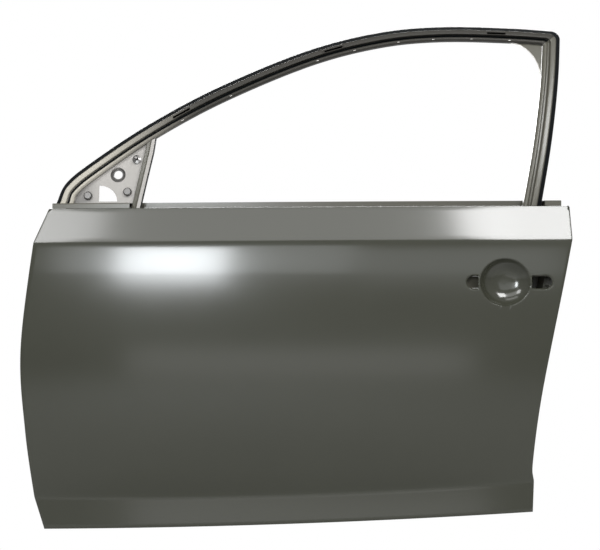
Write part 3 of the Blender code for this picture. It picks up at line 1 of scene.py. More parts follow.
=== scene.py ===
"""Looks of the front left door shell.

Row frame in metres: X runs to the car's rear, Y into the cabin, Z up.
"""

import json
import math

import bmesh
import bpy
import numpy as np
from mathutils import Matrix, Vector


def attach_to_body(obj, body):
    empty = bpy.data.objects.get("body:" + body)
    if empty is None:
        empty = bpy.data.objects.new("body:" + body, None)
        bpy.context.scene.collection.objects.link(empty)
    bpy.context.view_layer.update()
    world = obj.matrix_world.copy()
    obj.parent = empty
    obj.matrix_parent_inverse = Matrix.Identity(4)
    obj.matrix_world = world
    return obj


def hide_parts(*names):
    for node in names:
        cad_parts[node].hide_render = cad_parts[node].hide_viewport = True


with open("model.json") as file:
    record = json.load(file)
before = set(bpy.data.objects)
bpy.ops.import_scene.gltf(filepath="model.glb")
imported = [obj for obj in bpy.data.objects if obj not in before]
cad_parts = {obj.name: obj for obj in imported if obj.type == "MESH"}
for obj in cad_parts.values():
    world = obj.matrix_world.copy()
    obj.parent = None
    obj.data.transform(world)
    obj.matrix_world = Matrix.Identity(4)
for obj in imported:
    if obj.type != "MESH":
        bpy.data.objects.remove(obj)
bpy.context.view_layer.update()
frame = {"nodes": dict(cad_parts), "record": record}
nodes = frame["nodes"]

# Skin outline
BELT_FRONT = (0.0153, 0.1990)
BELT_REAR = (1.1574, 0.2060)
CREASE_FRONT = (-0.0136, 0.1240)
CREASE_REAR = (1.1582, 0.1320)
NOSE = (-0.0405, -0.1100)
NOSE_LOWER = (-0.0320, -0.2826)
SILL_FRONT = (-0.0144, -0.4300)
SILL_REAR = (1.0748, -0.3940)
BOTTOM_FRONT = (0.0090, -0.4990)
BOTTOM_REAR = (1.0714, -0.4600)
TAIL_UPPER = (1.1440, 0.0650)
TAIL = (1.0920, -0.1950)
WAIST = (1.0719, -0.3520)
SILL_SAG = 0.0090
BOTTOM_SAG = 0.0050

# Skin section
SKIN_STAND_OUT = 0.0600
CROWN_RADIUS = 8.0
BODY_RADIUS = 3.5
BODY_APEX_Z = -0.0460
SHOULDER_START_Z = 0.0540
SHOULDER_RADIUS = 0.60
TUCK_START_Z = -0.3660
TUCK_RADIUS = 0.80
SHOULDER_LEAN = math.radians(23.0)
SILL_FLARE = math.radians(5.0)
CREASE_HALF = 0.0022
SKIN_GAUGE = 0.0008
FOLD_RADIUS = 0.00155
HEM_WIDTH = 0.0090
BELT_FOLD = 0.0020
BELT_FLANGE = 0.0070
BELT_LIP = 0.0060

# Handle recess and its cut-outs
HANDLE_END = (1.1148, 0.0384)
BOWL_LENGTH = 0.1100
BOWL_HEIGHT = 0.1030
BOWL_DEPTH = 0.0240
BOWL_RIM = 0.0012
BOWL_CLAMP = 1.6
BOWL_END = 1.5
CUTOUT_HEIGHT = 0.0320
FRONT_CUTOUT_LENGTH = 0.0280
REAR_CUTOUT_LENGTH = 0.0480
CUTOUT_LAND = 0.0030
CUTOUT_SET = 0.0030
CUTOUT_BRIDGE = 0.0025
CUTOUT_CUT_Y = (-0.0900, -0.0200)
CUTOUT_STEPS = 25
BOWL_CENTRE = (HANDLE_END[0] - REAR_CUTOUT_LENGTH - CUTOUT_BRIDGE - BOWL_LENGTH / 2, HANDLE_END[1])

# Window frame
GAP = 0.0003
FRAME_SET_BACK = 0.0540
FRAME_LEAN = 0.18
FRAME_RADIUS = 1.20
HEADER_EDGE = ((0.0262, 0.2115), (0.0485, 0.2594), (0.1140, 0.3132), (0.2339, 0.3951), (0.3839, 0.4789),
               (0.5819, 0.5658), (0.7448, 0.6110), (0.8881, 0.6268), (1.0500, 0.6249), (1.1685, 0.6173))
PILLAR_EDGE = ((1.1685, 0.6173), (1.1534, 0.4961), (1.1295, 0.3549), (1.1001, 0.2126))
FRAME_CORNER_RADIUS = 0.0200
FRAME_INNER_RADIUS = 0.0050
CORNER_STEPS = 12
SPAN_STEPS = 14
PILLAR_TAIL = 0.1200
RAIL_GAUGE = 0.0010
RAIL_WIDTH = 0.0360
PILLAR_WIDTH = 0.0400
RAIL_DEPTH = 0.0260
RAIL_FACE = (0.0105, 0.0205)
RAIL_GROOVE = (0.0215, 0.0275)
RAIL_GROOVE_DEPTH = 0.0100
RAIL_BEND = 0.0022
OUTER_BAND = (-0.0010, 0.0100)
# Band of the header's groove that is given the near-black finish: painted shade in the groove.
SHADED_GROOVE_BAND = (0.0222, 0.0276)
SLOT_LENGTH = 0.0430
SLOT_WIDTH = 0.0045
SLOT_SHARES = (0.279, 0.579, 0.884)
SLOT_PLACE = 0.65
GUSSET_REACH = 0.0750
GUSSET_DEPTH = 0.0120
GUSSET_BEAD = 0.0009
GUSSET_BEAD_END = 0.04
GUSSET_BEAD_STEPS = 41
MIRROR_BOSS = (0.1624, 0.2765)
MIRROR_BOSS_SET_BACK = 0.0110
MIRROR_BOSS_RADIUS = 0.0172
DISH_EDGE = 0.0006
SHARP_ANGLE = 35.0
LIP_SPOTS_X = (0.304, 0.411, 0.606, 0.690, 0.791, 0.871, 0.959, 1.047)
LIP_SPOT_LENGTH = 0.0050
LIP_SPOT_RADIUS = 0.0008
LIP_PLACE = 0.0325
LIP_LEVEL = 0.0030
DIVIDER_TOP_X = 0.2256
DIVIDER_BELT_X = 0.1950
DIVIDER_WIDTH = 0.0205
DIVIDER_DEPTH = 0.0180
DIVIDER_TAIL = 0.3200
DIVIDER_LEVELS = (0.0060, 0.0045, 0.0020, 0.0030)
DIVIDER_BEND = 0.0012
DIVIDER_STEPS = 30
DIVIDER_EDGE_BAND = (0.0185, 0.0300)
DIVIDER_LIGHT_BAND = (0.0112, 0.0186)
LEDGE_RISE = 0.0120
HORIZONTAL = np.array((1.0, 0.0))

# Mesh spacing of the skin
COARSE = 0.0090
FINE = 0.0014
FINE_X = (0.9150, 1.1250)
FINE_Z = (-0.0200, 0.0970)
GRID_X = (-0.0120, 1.1300)
BAND_ROWS = 9
EDGE_TURNS = 6

MIDDLE_X = (BELT_FRONT[0] + BELT_REAR[0]) / 2


def curve_through(points, steps):
    """Catmull-Rom curve through points, each span cut into its number of steps."""
    p = [np.array(q, float) for q in points]
    p = [2 * p[0] - p[1]] + p + [2 * p[-1] - p[-2]]
    out = []
    for a, b, c, d, count in zip(p, p[1:], p[2:], p[3:], steps):
        for k in range(count):
            t = k / count
            out.append(0.5 * (2 * b + (c - a) * t + (2 * a - 5 * b + 4 * c - d) * t ** 2
                              + (3 * b - a - 3 * c + d) * t ** 3))
    return out + [p[-2]]


FRONT_EDGE = [np.array(BELT_FRONT)] + curve_through(
    (CREASE_FRONT, NOSE, NOSE_LOWER, SILL_FRONT), (30, 20, 20)) + [np.array(BOTTOM_FRONT)]
REAR_EDGE = [np.array(BELT_REAR)] + curve_through(
    (CREASE_REAR, TAIL_UPPER, TAIL, WAIST, SILL_REAR), (12, 30, 20, 10)) + [np.array(BOTTOM_REAR)]


def along(edge, z):
    zs = [-q[1] for q in edge]
    return np.interp(-z, zs, [q[0] for q in edge])


def line_z(front, rear, sag=0.0):
    def z(x):
        t = (x - front[0]) / (rear[0] - front[0])
        return front[1] + (rear[1] - front[1]) * t - 4 * sag * t * (1 - t)
    return z


belt_z = line_z(BELT_FRONT, BELT_REAR)
crease_z = line_z(CREASE_FRONT, CREASE_REAR)
sill_z = line_z(SILL_FRONT, SILL_REAR, SILL_SAG)
bottom_z = line_z(BOTTOM_FRONT, BOTTOM_REAR, BOTTOM_SAG)


def crown(x):
    return (x - MIDDLE_X) ** 2 / (2 * CROWN_RADIUS)


def skin_y(x, z):
    """Outer face of the skin, without the handle's recess."""
    body = np.minimum(np.maximum(z, sill_z(x)), crease_z(x))
    y = crown(x) - SKIN_STAND_OUT + (body - BODY_APEX_Z) ** 2 / (2 * BODY_RADIUS)
    y = y + np.maximum(0.0, body - SHOULDER_START_Z) ** 2 / (2 * SHOULDER_RADIUS)
    y = y + np.maximum(0.0, TUCK_START_Z - body) ** 2 / (2 * TUCK_RADIUS)
    y = y + np.maximum(0.0, z - crease_z(x)) * math.tan(SHOULDER_LEAN)
    return y - np.maximum(0.0, sill_z(x) - z) * math.tan(SILL_FLARE)


def behind_skin(x, z, depth):
    h = 0.002
    dx = (skin_y(x + h, z) - skin_y(x - h, z)) / (2 * h)
    dz = (skin_y(x, z + h) - skin_y(x, z - h)) / (2 * h)
    return skin_y(x, z) + depth * np.sqrt(1 + dx * dx + dz * dz)


def cutout_ends():
    """Bowl side and far end of each cut-out."""
    cx = BOWL_CENTRE[0]
    left = cx - BOWL_LENGTH / 2 - CUTOUT_BRIDGE
    right = cx + BOWL_LENGTH / 2 + CUTOUT_BRIDGE
    return (left, left - FRONT_CUTOUT_LENGTH), (right, right + REAR_CUTOUT_LENGTH)


def stadium_distance(x, z, near, far, height):
    """Signed distance to a loop that is straight at near and round at far."""
    side = 1 if far > near else -1
    radius = height / 2
    past = np.maximum(0.0, side * (x - (far - side * radius)))
    outside = np.hypot(past, z - BOWL_CENTRE[1]) - radius
    return np.maximum(outside, side * (near - x))


def recess(x, z):
    """Depth of the handle's bowl and of the set round its cut-outs."""
    cx, cz = BOWL_CENTRE
    share = np.sqrt(((x - cx) / (BOWL_LENGTH / 2)) ** 2 + ((z - cz) / (BOWL_HEIGHT / 2)) ** 2)
    dish = BOWL_DEPTH * (1 - np.minimum(share, BOWL_CLAMP) ** 3)
    depth = 0.5 * (dish + np.sqrt(dish ** 2 + BOWL_RIM ** 2))
    depth = depth - 0.5 * BOWL_RIM ** 2 / (np.abs(dish) + BOWL_RIM) * (share > 1)
    depth = np.where(share > BOWL_END, 0.0, depth)
    for near, far in cutout_ends():
        t = np.clip(-stadium_distance(x, z, near, far, CUTOUT_HEIGHT) / CUTOUT_LAND, 0, 1)
        depth = np.maximum(depth, CUTOUT_SET * t * t * (3 - 2 * t))
    return depth


def stations(low, high, fine, coarse_step, fine_step):
    """Numbers from low to high, closely spaced inside the fine range."""
    a, b = max(low, fine[0]), min(high, fine[1])
    parts = [np.linspace(low, a, max(2, round((a - low) / coarse_step) + 1))]
    parts.append(np.linspace(a, b, max(2, round((b - a) / fine_step) + 1)))
    parts.append(np.linspace(b, high, max(2, round((high - b) / coarse_step) + 1)))
    return np.unique(np.round(np.concatenate(parts), 6))


def link(name, points, faces, smooth_angle=30.0):
    mesh = bpy.data.meshes.new(name)
    mesh.from_pydata([tuple(p) for p in points], [], faces)
    mesh.validate()
    made = bpy.data.objects.new(name, mesh)
    bpy.context.scene.collection.objects.link(made)
    mesh.shade_smooth()
    mesh.set_sharp_from_angle(angle=math.radians(smooth_angle))
    return made


def skin_grid():
    """Rows of x and z over the skin, inset from its folded edges."""
    inset = FOLD_RADIUS
    fine = [(q - sill_z(MIDDLE_X)) / (crease_z(MIDDLE_X) - sill_z(MIDDLE_X)) for q in FINE_Z]
    height = crease_z(MIDDLE_X) - sill_z(MIDDLE_X)
    body = stations(0.0, 1.0, fine, COARSE / height, FINE / height)
    rows = []
    for t in np.linspace(0, 1, BAND_ROWS)[:-1]:
        rows.append(lambda x, t=t: (bottom_z(x) + inset) * (1 - t) + (sill_z(x) - CREASE_HALF) * t)
    rows.append(lambda x: sill_z(x) - CREASE_HALF)
    for t in body:
        rows.append(lambda x, t=t: (sill_z(x) + CREASE_HALF) * (1 - t) + (crease_z(x) - CREASE_HALF) * t)
    for t in np.linspace(0, 1, BAND_ROWS):
        rows.append(lambda x, t=t: (crease_z(x) + CREASE_HALF) * (1 - t) + (belt_z(x) - BELT_FOLD) * t)
    low, high = GRID_X
    xs = stations(low, high, FINE_X, COARSE, FINE)
    us = (xs - low) / (high - low)
    grid = []
    for row in rows:
        x = low + (high - low) * us
        # a row's ends depend on its height there, so they are found in a few turns
        for _ in range(EDGE_TURNS):
            left, right = row(x[0]), row(x[-1])
            x0, x1 = along(FRONT_EDGE, left) + inset, along(REAR_EDGE, right) - inset
            x = x0 + (x1 - x0) * us
        grid.append(np.stack([x, row(x)], axis=1))
    return np.array(grid)


def outward(loop):
    """Unit normals of an open plan path, to the right of its way, mitred at corners."""
    step = np.diff(loop, axis=0)
    step = step / np.linalg.norm(step, axis=1)[:, None]
    n = np.stack([step[:, 1], -step[:, 0]], axis=1)
    before, after = np.vstack([n[:1], n]), np.vstack([n, n[-1:]])
    return (before + after) / (1 + (before * after).sum(1))[:, None]


def door_skin():
    grid = skin_grid()
    high, wide = grid.shape[:2]
    x, z = grid[..., 0], grid[..., 1]
    y = skin_y(x, z) + recess(x, z)
    points = np.stack([x, y, z], axis=2).reshape(-1, 3).tolist()
    faces = []
    for i in range(high - 1):
        for j in range(wide - 1):
            a = i * wide + j
            faces.append((a, a + 1, a + wide + 1, a + wide))
    down = [i * wide for i in range(high - 1, -1, -1)]
    foot = list(range(1, wide - 1))
    up = [i * wide + wide - 1 for i in range(high)]
    rim = down + foot + up
    loop = np.array([(points[k][0], points[k][2]) for k in rim])
    # down the front, along the sill, up the rear: outside is on the right
    normal = outward(loop)
    normal[0] = normal[0] / abs(normal[0][0])
    row = rim
    turns = [math.radians(a) for a in (30, 60, 90, 120, 150, 180)]
    rings = [(FOLD_RADIUS * math.sin(a), FOLD_RADIUS * (1 - math.cos(a))) for a in turns]
    rings.append((-HEM_WIDTH, 2 * FOLD_RADIUS))
    for reach, depth in rings:
        moved = loop + normal * reach
        start = len(points)
        for px, pz in moved:
            points.append([px, float(behind_skin(px, pz, depth)), pz])
        ring = list(range(start, start + len(rim)))
        for a, b, c, d in zip(row, row[1:], ring[1:], ring):
            faces.append((a, d, c, b))
        row = ring
    row = list(range((high - 1) * wide, high * wide))
    section = [(BELT_FOLD * math.sin(math.radians(a)), BELT_FOLD * (1 - math.cos(math.radians(a))))
               for a in (22, 45, 68, 90)]
    section += [(BELT_FOLD, BELT_FOLD + BELT_FLANGE), (BELT_FOLD - BELT_LIP, BELT_FOLD + BELT_FLANGE)]
    top = [(points[k][0], points[k][1], points[k][2]) for k in row]
    for rise, depth in section:
        start = len(points)
        for px, py, pz in top:
            points.append([px, py + depth, pz + rise])
        ring = list(range(start, start + wide))
        for a, b, c, d in zip(row, row[1:], ring[1:], ring):
            faces.append((a, b, c, d))
        row = ring
    made = link("door_skin", points, faces)
    solid = made.modifiers.new("gauge", "SOLIDIFY")
    solid.thickness = SKIN_GAUGE
    solid.offset = -1
    solid.use_quality_normals = True
    cut_from(made, cutout_cutter())
    return made


def cutout_cutter():
    """Closed prisms through both of the handle's cut-outs."""
    points, faces = [], []
    for near, far in cutout_ends():
        side = 1 if far > near else -1
        near, far = near + side * CUTOUT_LAND / 2, far - side * CUTOUT_LAND
        radius = CUTOUT_HEIGHT / 2 - CUTOUT_LAND
        loop = [(near, BOWL_CENTRE[1] - radius)]
        for a in np.linspace(-math.pi / 2, math.pi / 2, CUTOUT_STEPS):
            loop.append((far + side * radius * (math.cos(a) - 1), BOWL_CENTRE[1] + radius * math.sin(a)))
        loop.append((near, BOWL_CENTRE[1] + radius))
        start, count = len(points), len(loop)
        for y in CUTOUT_CUT_Y:
            points += [(px, y, pz) for px, pz in loop]
        for k in range(count):
            m = (k + 1) % count
            faces.append((start + k, start + m, start + count + m, start + count + k))
        faces.append([start + k for k in range(count)][::-1])
        faces.append([start + count + k for k in range(count)])
    return closed("handle_cutter", points, faces)


def closed(name, points, faces):
    """Hidden closed body that cuts others."""
    cutter = link(name, points, faces)
    work = bmesh.new()
    work.from_mesh(cutter.data)
    bmesh.ops.recalc_face_normals(work, faces=work.faces)
    work.to_mesh(cutter.data)
    work.free()
    cutter.hide_render = True
    cutter.display_type = "WIRE"
    return cutter


def cut_from(made, cutter):
    knife = made.modifiers.new("cut_outs", "BOOLEAN")
    knife.operation = "DIFFERENCE"
    knife.solver = "EXACT"
    knife.object = cutter


def unit(v):
    return v / np.linalg.norm(v)


def right_of(step):
    return np.array((step[1], -step[0]))


def frame_y(x, z):
    """Outer face of the window frame, which leans in towards the roof."""
    rise = np.maximum(z - belt_z(x), -FRAME_LEAN * FRAME_RADIUS)
    return (crown(x) - SKIN_STAND_OUT + FRAME_SET_BACK + FRAME_LEAN * rise
            + rise ** 2 / (2 * FRAME_RADIUS))


def rights(path, first=None, last=None):
    """Vector to the right at each point of a path, mitred. The end ones can be given."""
    out = []
    for i in range(len(path)):
        n0 = right_of(unit(path[max(i, 1)] - path[max(i - 1, 0)]))
        n1 = right_of(unit(path[min(i + 1, len(path) - 1)] - path[min(i, len(path) - 2)]))
        out.append((n0 + n1) / (1 + n0.dot(n1)))
    if first is not None:
        out[0] = first / first.dot(out[0])
    if last is not None:
        out[-1] = last / last.dot(out[-1])
    return out


def corner_fan(corner, before, after, mitre):
    """Points round the frame's corner, on the outer arc and on the small inner one."""
    turn = math.acos(float(before.dot(after)))
    right = right_of(before)
    fans = []
    for spot, radius in ((corner, FRAME_CORNER_RADIUS),
                         (corner + RAIL_WIDTH * mitre, FRAME_INNER_RADIUS)):
        centre = spot - before * radius * math.tan(turn / 2) + right * radius
        fans.append([centre + radius * (math.sin(a) * before - math.cos(a) * right)
                     for a in np.linspace(0, turn, 2 * CORNER_STEPS + 1)])
    return fans


def frame_paths():
    """Paths and across vectors of header and rear pillar, mitred at the middle of their corner."""
    header = curve_through(HEADER_EDGE, [SPAN_STEPS] * (len(HEADER_EDGE) - 1))
    header[0][1] = belt_z(header[0][0]) + LEDGE_RISE + GAP
    pillar = curve_through(PILLAR_EDGE, [SPAN_STEPS] * (len(PILLAR_EDGE) - 1))
    pillar.append(pillar[-1] + unit(pillar[-1] - pillar[-2]) * PILLAR_TAIL)
    corner = pillar[0]
    clear = max(PILLAR_WIDTH, FRAME_CORNER_RADIUS) + 2 * FRAME_INNER_RADIUS
    header = [q for q in header[:-1] if np.linalg.norm(q - corner) > clear]
    pillar = [q for q in pillar[1:] if np.linalg.norm(q - corner) > clear]
    before, after = unit(corner - header[-1]), unit(pillar[0] - corner)
    share = PILLAR_WIDTH / RAIL_WIDTH
    mitre = np.linalg.solve((right_of(before), right_of(after)), (1.0, share))
    outer, inner = corner_fan(corner, before, after, mitre)
    fan = [(b - a) / RAIL_WIDTH for a, b in zip(outer, inner)]
    half = CORNER_STEPS
    header_across = rights(header + [corner], HORIZONTAL)[:-1]
    # the across vector turns evenly over the first span, so that its rings don't cross
    level, square = header_across[0], header_across[SPAN_STEPS]
    for i in range(1, SPAN_STEPS):
        header_across[i] = level + (square - level) * i / SPAN_STEPS
    header_across = header_across + fan[:half + 1]
    pillar_across = fan[half:] + [share * n for n in rights([corner] + pillar, None, -HORIZONTAL)[1:]]
    header, pillar = header + outer[:half + 1], outer[half:] + pillar
    header[-1] = header[-1] - before * GAP
    pillar[0] = pillar[0] + after * GAP
    return header, header_across, pillar, pillar_across


def softened(points, radius, steps=5):
    """Open 2-D path with each inner corner replaced by a short parabola."""
    p = [np.array(q, float) for q in points]
    out = [p[0]]
    for before, here, after in zip(p, p[1:], p[2:]):
        reach = min(radius, 0.45 * np.linalg.norm(here - before), 0.45 * np.linalg.norm(after - here))
        start, end = here - unit(here - before) * reach, here + unit(after - here) * reach
        for t in np.linspace(0, 1, steps):
            out.append((1 - t) ** 2 * start + 2 * t * (1 - t) * here + t * t * end)
    return out + [p[-1]]


def sheet_outline(points, gauge):
    """Closed outline of a bent sheet in section, from its mid-line."""
    normal = rights(points)
    return ([q + n * gauge / 2 for q, n in zip(points, normal)]
            + [q - n * gauge / 2 for q, n in zip(points, normal)][::-1])


def sweep(name, path, across, section, bands):
    """Closed solid of a section swept over the frame's face. Each band has a finish of its own."""
    count = len(section)
    points, faces, finish = [], [], []
    for q, n in zip(path, across):
        for s, depth in section:
            x, z = q + s * n
            points.append((x, frame_y(x, z) + depth, z))
    for i in range(len(path) - 1):
        for j in range(count):
            a, b = i * count + j, i * count + (j + 1) % count
            faces.append([a, b, b + count, a + count])
            place = (section[j][0] + section[(j + 1) % count][0]) / 2
            inside = [k + 1 for k, (low, high) in enumerate(bands) if low < place < high]
            finish.append(inside[0] if inside else 0)
    faces.append(list(range(count)))
    faces.append(list(range(len(points) - 1, len(points) - count - 1, -1)))
    made = link(name, points, faces, 40.0)
    made.data.polygons.foreach_set("material_index", finish + [0, 0])
    work = bmesh.new()
    work.from_mesh(made.data)
    bmesh.ops.recalc_face_normals(work, faces=work.faces)
    work.to_mesh(made.data)
    work.free()
    return made


RAIL_SECTION = (
    (0.0, RAIL_DEPTH),
    (0.0, 0.58 * RAIL_DEPTH),
    (RAIL_FACE[0] - RAIL_GAUGE, 0.24 * RAIL_DEPTH),
    (RAIL_FACE[0], 0.0),
    (RAIL_FACE[1], 0.0),
    (RAIL_GROOVE[0], RAIL_GROOVE_DEPTH),
    (RAIL_GROOVE[1], RAIL_GROOVE_DEPTH),
    (RAIL_GROOVE[1] + RAIL_GAUGE, 0.3 * RAIL_GROOVE_DEPTH),
    (0.5 * (RAIL_GROOVE[1] + RAIL_WIDTH), 0.3 * RAIL_GROOVE_DEPTH),
    (RAIL_WIDTH, 0.7 * RAIL_GROOVE_DEPTH),
    (RAIL_WIDTH, RAIL_DEPTH),
)


def slot_cutter(header):
    """Closed bodies of the long round-ended slots in the header's outer face."""
    lengths = np.concatenate(([0], np.cumsum([np.linalg.norm(b - a) for a, b in zip(header, header[1:])])))
    points, faces = [], []
    for share in SLOT_SHARES:
        at = share * lengths[-1]
        ends = [np.array([np.interp(at + side * SLOT_LENGTH / 2, lengths, [q[k] for q in header])
                          for k in (0, 1)]) for side in (-1, 1)]
        step = unit(ends[1] - ends[0])
        n = right_of(step)
        centre = (ends[0] + ends[1]) / 2 + n * (RAIL_FACE[0] + SLOT_PLACE * (RAIL_FACE[1] - RAIL_FACE[0]))
        radius = SLOT_WIDTH / 2
        loop = []
        for side in (-1, 1):
            for a in np.linspace(-math.pi / 2, math.pi / 2, 9):
                loop.append(centre + side * (step * (SLOT_LENGTH / 2 - radius + radius * math.cos(a))
                                             + n * radius * math.sin(a)))
        start, count = len(points), len(loop)
        for depth in (-4 * RAIL_GAUGE, 4 * RAIL_GAUGE):
            points += [(x, frame_y(x, z) + depth, z) for x, z in loop]
        for k in range(count):
            m = (k + 1) % count
            faces.append((start + k, start + m, start + count + m, start + count + k))
        faces.append([start + k for k in range(count)])
        faces.append([start + count + k for k in range(count)][::-1])
    return closed("slot_cutter", points, faces)


# Finishes
COAT_ROUGHNESS = 0.12
CLOUD_SCALE = 6.0
CLOUD_DETAIL = 4.0
GLOSS_VARIATION = 0.1
WELD_DISTANCE = 0.00002


def scaled_by(tree, factor, source, name, *limits):
    """Factor times a ramp of a value: from low to high, its gain goes from first to second."""
    ramp = tree.nodes.new("ShaderNodeMapRange")
    ramp.interpolation_type = "SMOOTHSTEP"
    for key, value in zip(("From Min", "From Max", "To Min", "To Max"), limits):
        ramp.inputs[key].default_value = value
    tree.links.new(source.outputs[name], ramp.inputs["Value"])
    product = tree.nodes.new("ShaderNodeMath")
    product.operation = "MULTIPLY"
    tree.links.new(factor, product.inputs[0])
    tree.links.new(ramp.outputs["Result"], product.inputs[1])
    return product.outputs["Value"]


def finish_material(name, colour, roughness, metallic=0.0, coat=0.0, variation=0.05, specular=0.5,
                    fade=None, dish=None):
    """Painted or plated finish with a slight change of tone and gloss over its surface.

    fade is x from, x to and the gains there; it brightens or darkens the colour along x, and on the header
    it paints a highlight. dish is a point, its radius and the gain inside; it darkens the colour inside
    that round dish as painted shade.
    """
    made = bpy.data.materials.new(name)
    made.use_nodes = True
    tree = made.node_tree
    shader = tree.nodes["Principled BSDF"]
    shader.inputs["Metallic"].default_value = metallic
    shader.inputs["Specular IOR Level"].default_value = specular
    shader.inputs["Coat Weight"].default_value = coat
    shader.inputs["Coat Roughness"].default_value = COAT_ROUGHNESS
    place = tree.nodes.new("ShaderNodeTexCoord")
    cloud = tree.nodes.new("ShaderNodeTexNoise")
    cloud.inputs["Scale"].default_value = CLOUD_SCALE
    cloud.inputs["Detail"].default_value = CLOUD_DETAIL
    tree.links.new(place.outputs["Object"], cloud.inputs["Vector"])
    tone = tree.nodes.new("ShaderNodeMapRange")
    tone.inputs["To Min"].default_value = 1 - variation
    tone.inputs["To Max"].default_value = 1 + variation
    tree.links.new(cloud.outputs["Fac"], tone.inputs["Value"])
    mixed = tree.nodes.new("ShaderNodeVectorMath")
    mixed.operation = "SCALE"
    mixed.inputs[0].default_value = colour
    factor = tone.outputs["Result"]
    if fade:
        split = tree.nodes.new("ShaderNodeSeparateXYZ")
        tree.links.new(place.outputs["Object"], split.inputs["Vector"])
        factor = scaled_by(tree, factor, split, "X", *fade)
    if dish:
        spot, radius, gain = dish
        far = tree.nodes.new("ShaderNodeVectorMath")
        far.operation = "DISTANCE"
        tree.links.new(place.outputs["Object"], far.inputs[0])
        far.inputs[1].default_value = spot
        factor = scaled_by(tree, factor, far, "Value", radius - DISH_EDGE, radius + DISH_EDGE, gain, 1.0)
    tree.links.new(factor, mixed.inputs["Scale"])
    tree.links.new(mixed.outputs["Vector"], shader.inputs["Base Color"])
    gloss = tree.nodes.new("ShaderNodeMapRange")
    gloss.inputs["To Min"].default_value = roughness * (1 - GLOSS_VARIATION)
    gloss.inputs["To Max"].default_value = roughness * (1 + GLOSS_VARIATION)
    tree.links.new(cloud.outputs["Fac"], gloss.inputs["Value"])
    tree.links.new(gloss.outputs["Result"], shader.inputs["Roughness"])
    return made


PRIMER = finish_material("primer", (0.030, 0.031, 0.022), 0.155, coat=0.25)
INSIDE_PRIMER = finish_material("inside_primer", (0.070, 0.067, 0.052), 0.30)
def boss_place():
    x, z = MIRROR_BOSS
    return (x, float(frame_y(x, z)) + MIRROR_BOSS_SET_BACK, z)


# Header primer whose colour is raised up to eleven times towards the front foot, fading out by x 0.36: a
# painted highlight on the steep front of the header.
HEADER_PRIMER_AND_HIGHLIGHT = finish_material("header_primer_and_highlight", (0.034, 0.032, 0.0275), 0.34, specular=0.15,
                                fade=(0.06, 0.36, 11.0, 1.0))
# Plate primer, darker towards the front end of the plate, and darkened inside the mirror boss's dish as
# painted shade.
PLATE_PRIMER_AND_SHADE = finish_material("plate_primer_and_shade", (0.300, 0.286, 0.268), 0.32, fade=(0.06, 0.13, 0.35, 1.0),
                               dish=(boss_place(), MIRROR_BOSS_RADIUS, 0.22))
# Dark primer of the CAD nodes marked so; also the dark bands of the rails and the divider, and painted
# shade in the header's groove.
DARK_PRIMER_AND_SHADE = finish_material("dark_primer", (0.003, 0.004, 0.0045), 0.34, specular=0.08)
# Near-white finish that paints light: the highlight along the gusset's rolled edge and the bright spots on
# the header's lip.
PAINTED_LIGHT_FINISH = finish_material("painted_light", (0.55, 0.53, 0.50), 0.28, metallic=0.6)
STEEL = finish_material("bare_steel", (0.20, 0.195, 0.19), 0.30, metallic=1.0)
MASTIC = finish_material("mastic", (0.05, 0.05, 0.045), 0.8)
FINISHES = {"primer": INSIDE_PRIMER, "dark_primer": DARK_PRIMER_AND_SHADE, "bare_steel": STEEL, "mastic": MASTIC}

def rounding_nodes():
    """Node group that joins a mesh's points and shades it smooth, apart from its sharp edges."""
    tree = bpy.data.node_groups.new("rounding", "GeometryNodeTree")
    tree.interface.new_socket("Geometry", in_out="INPUT", socket_type="NodeSocketGeometry")
    tree.interface.new_socket("Geometry", in_out="OUTPUT", socket_type="NodeSocketGeometry")
    start, end = tree.nodes.new("NodeGroupInput"), tree.nodes.new("NodeGroupOutput")
    weld = tree.nodes.new("GeometryNodeMergeByDistance")
    weld.inputs["Distance"].default_value = WELD_DISTANCE
    smooth = tree.nodes.new("GeometryNodeSetShadeSmooth")
    smooth.domain = "FACE"
    sharp = tree.nodes.new("GeometryNodeSetShadeSmooth")
    sharp.domain = "EDGE"
    sharp.inputs["Shade Smooth"].default_value = False
    bend = tree.nodes.new("GeometryNodeInputMeshEdgeAngle")
    steep = tree.nodes.new("FunctionNodeCompare")
    steep.operation = "GREATER_THAN"
    steep.inputs["B"].default_value = math.radians(SHARP_ANGLE)
    tree.links.new(start.outputs["Geometry"], weld.inputs["Geometry"])
    tree.links.new(weld.outputs["Geometry"], smooth.inputs["Geometry"])
    tree.links.new(smooth.outputs["Geometry"], sharp.inputs["Geometry"])
    tree.links.new(bend.outputs["Unsigned Angle"], steep.inputs["A"])
    tree.links.new(steep.outputs["Result"], sharp.inputs["Selection"])
    tree.links.new(sharp.outputs["Geometry"], end.inputs["Geometry"])
    return tree


ROUNDING = rounding_nodes()
slot_of = {part["node"]: part["material_slot"] for part in frame["record"]["subparts"]}
for name, node in nodes.items():
    node.data.materials.clear()
    node.data.materials.append(PLATE_PRIMER_AND_SHADE if name == "mirror_plate" else FINISHES[slot_of[name]])
    node.modifiers.new("rounding", "NODES").node_group = ROUNDING
    even = node.modifiers.new("even_shading", "WEIGHTED_NORMAL")
    even.keep_sharp = True


def attach(piece, node_name, *finishes):
    """Puts a visual piece in place of a CAD node, which it hides, and gives it the finishes."""
    for finish in finishes:
        piece.data.materials.append(finish)
    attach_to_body(piece, "root")
    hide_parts(node_name)


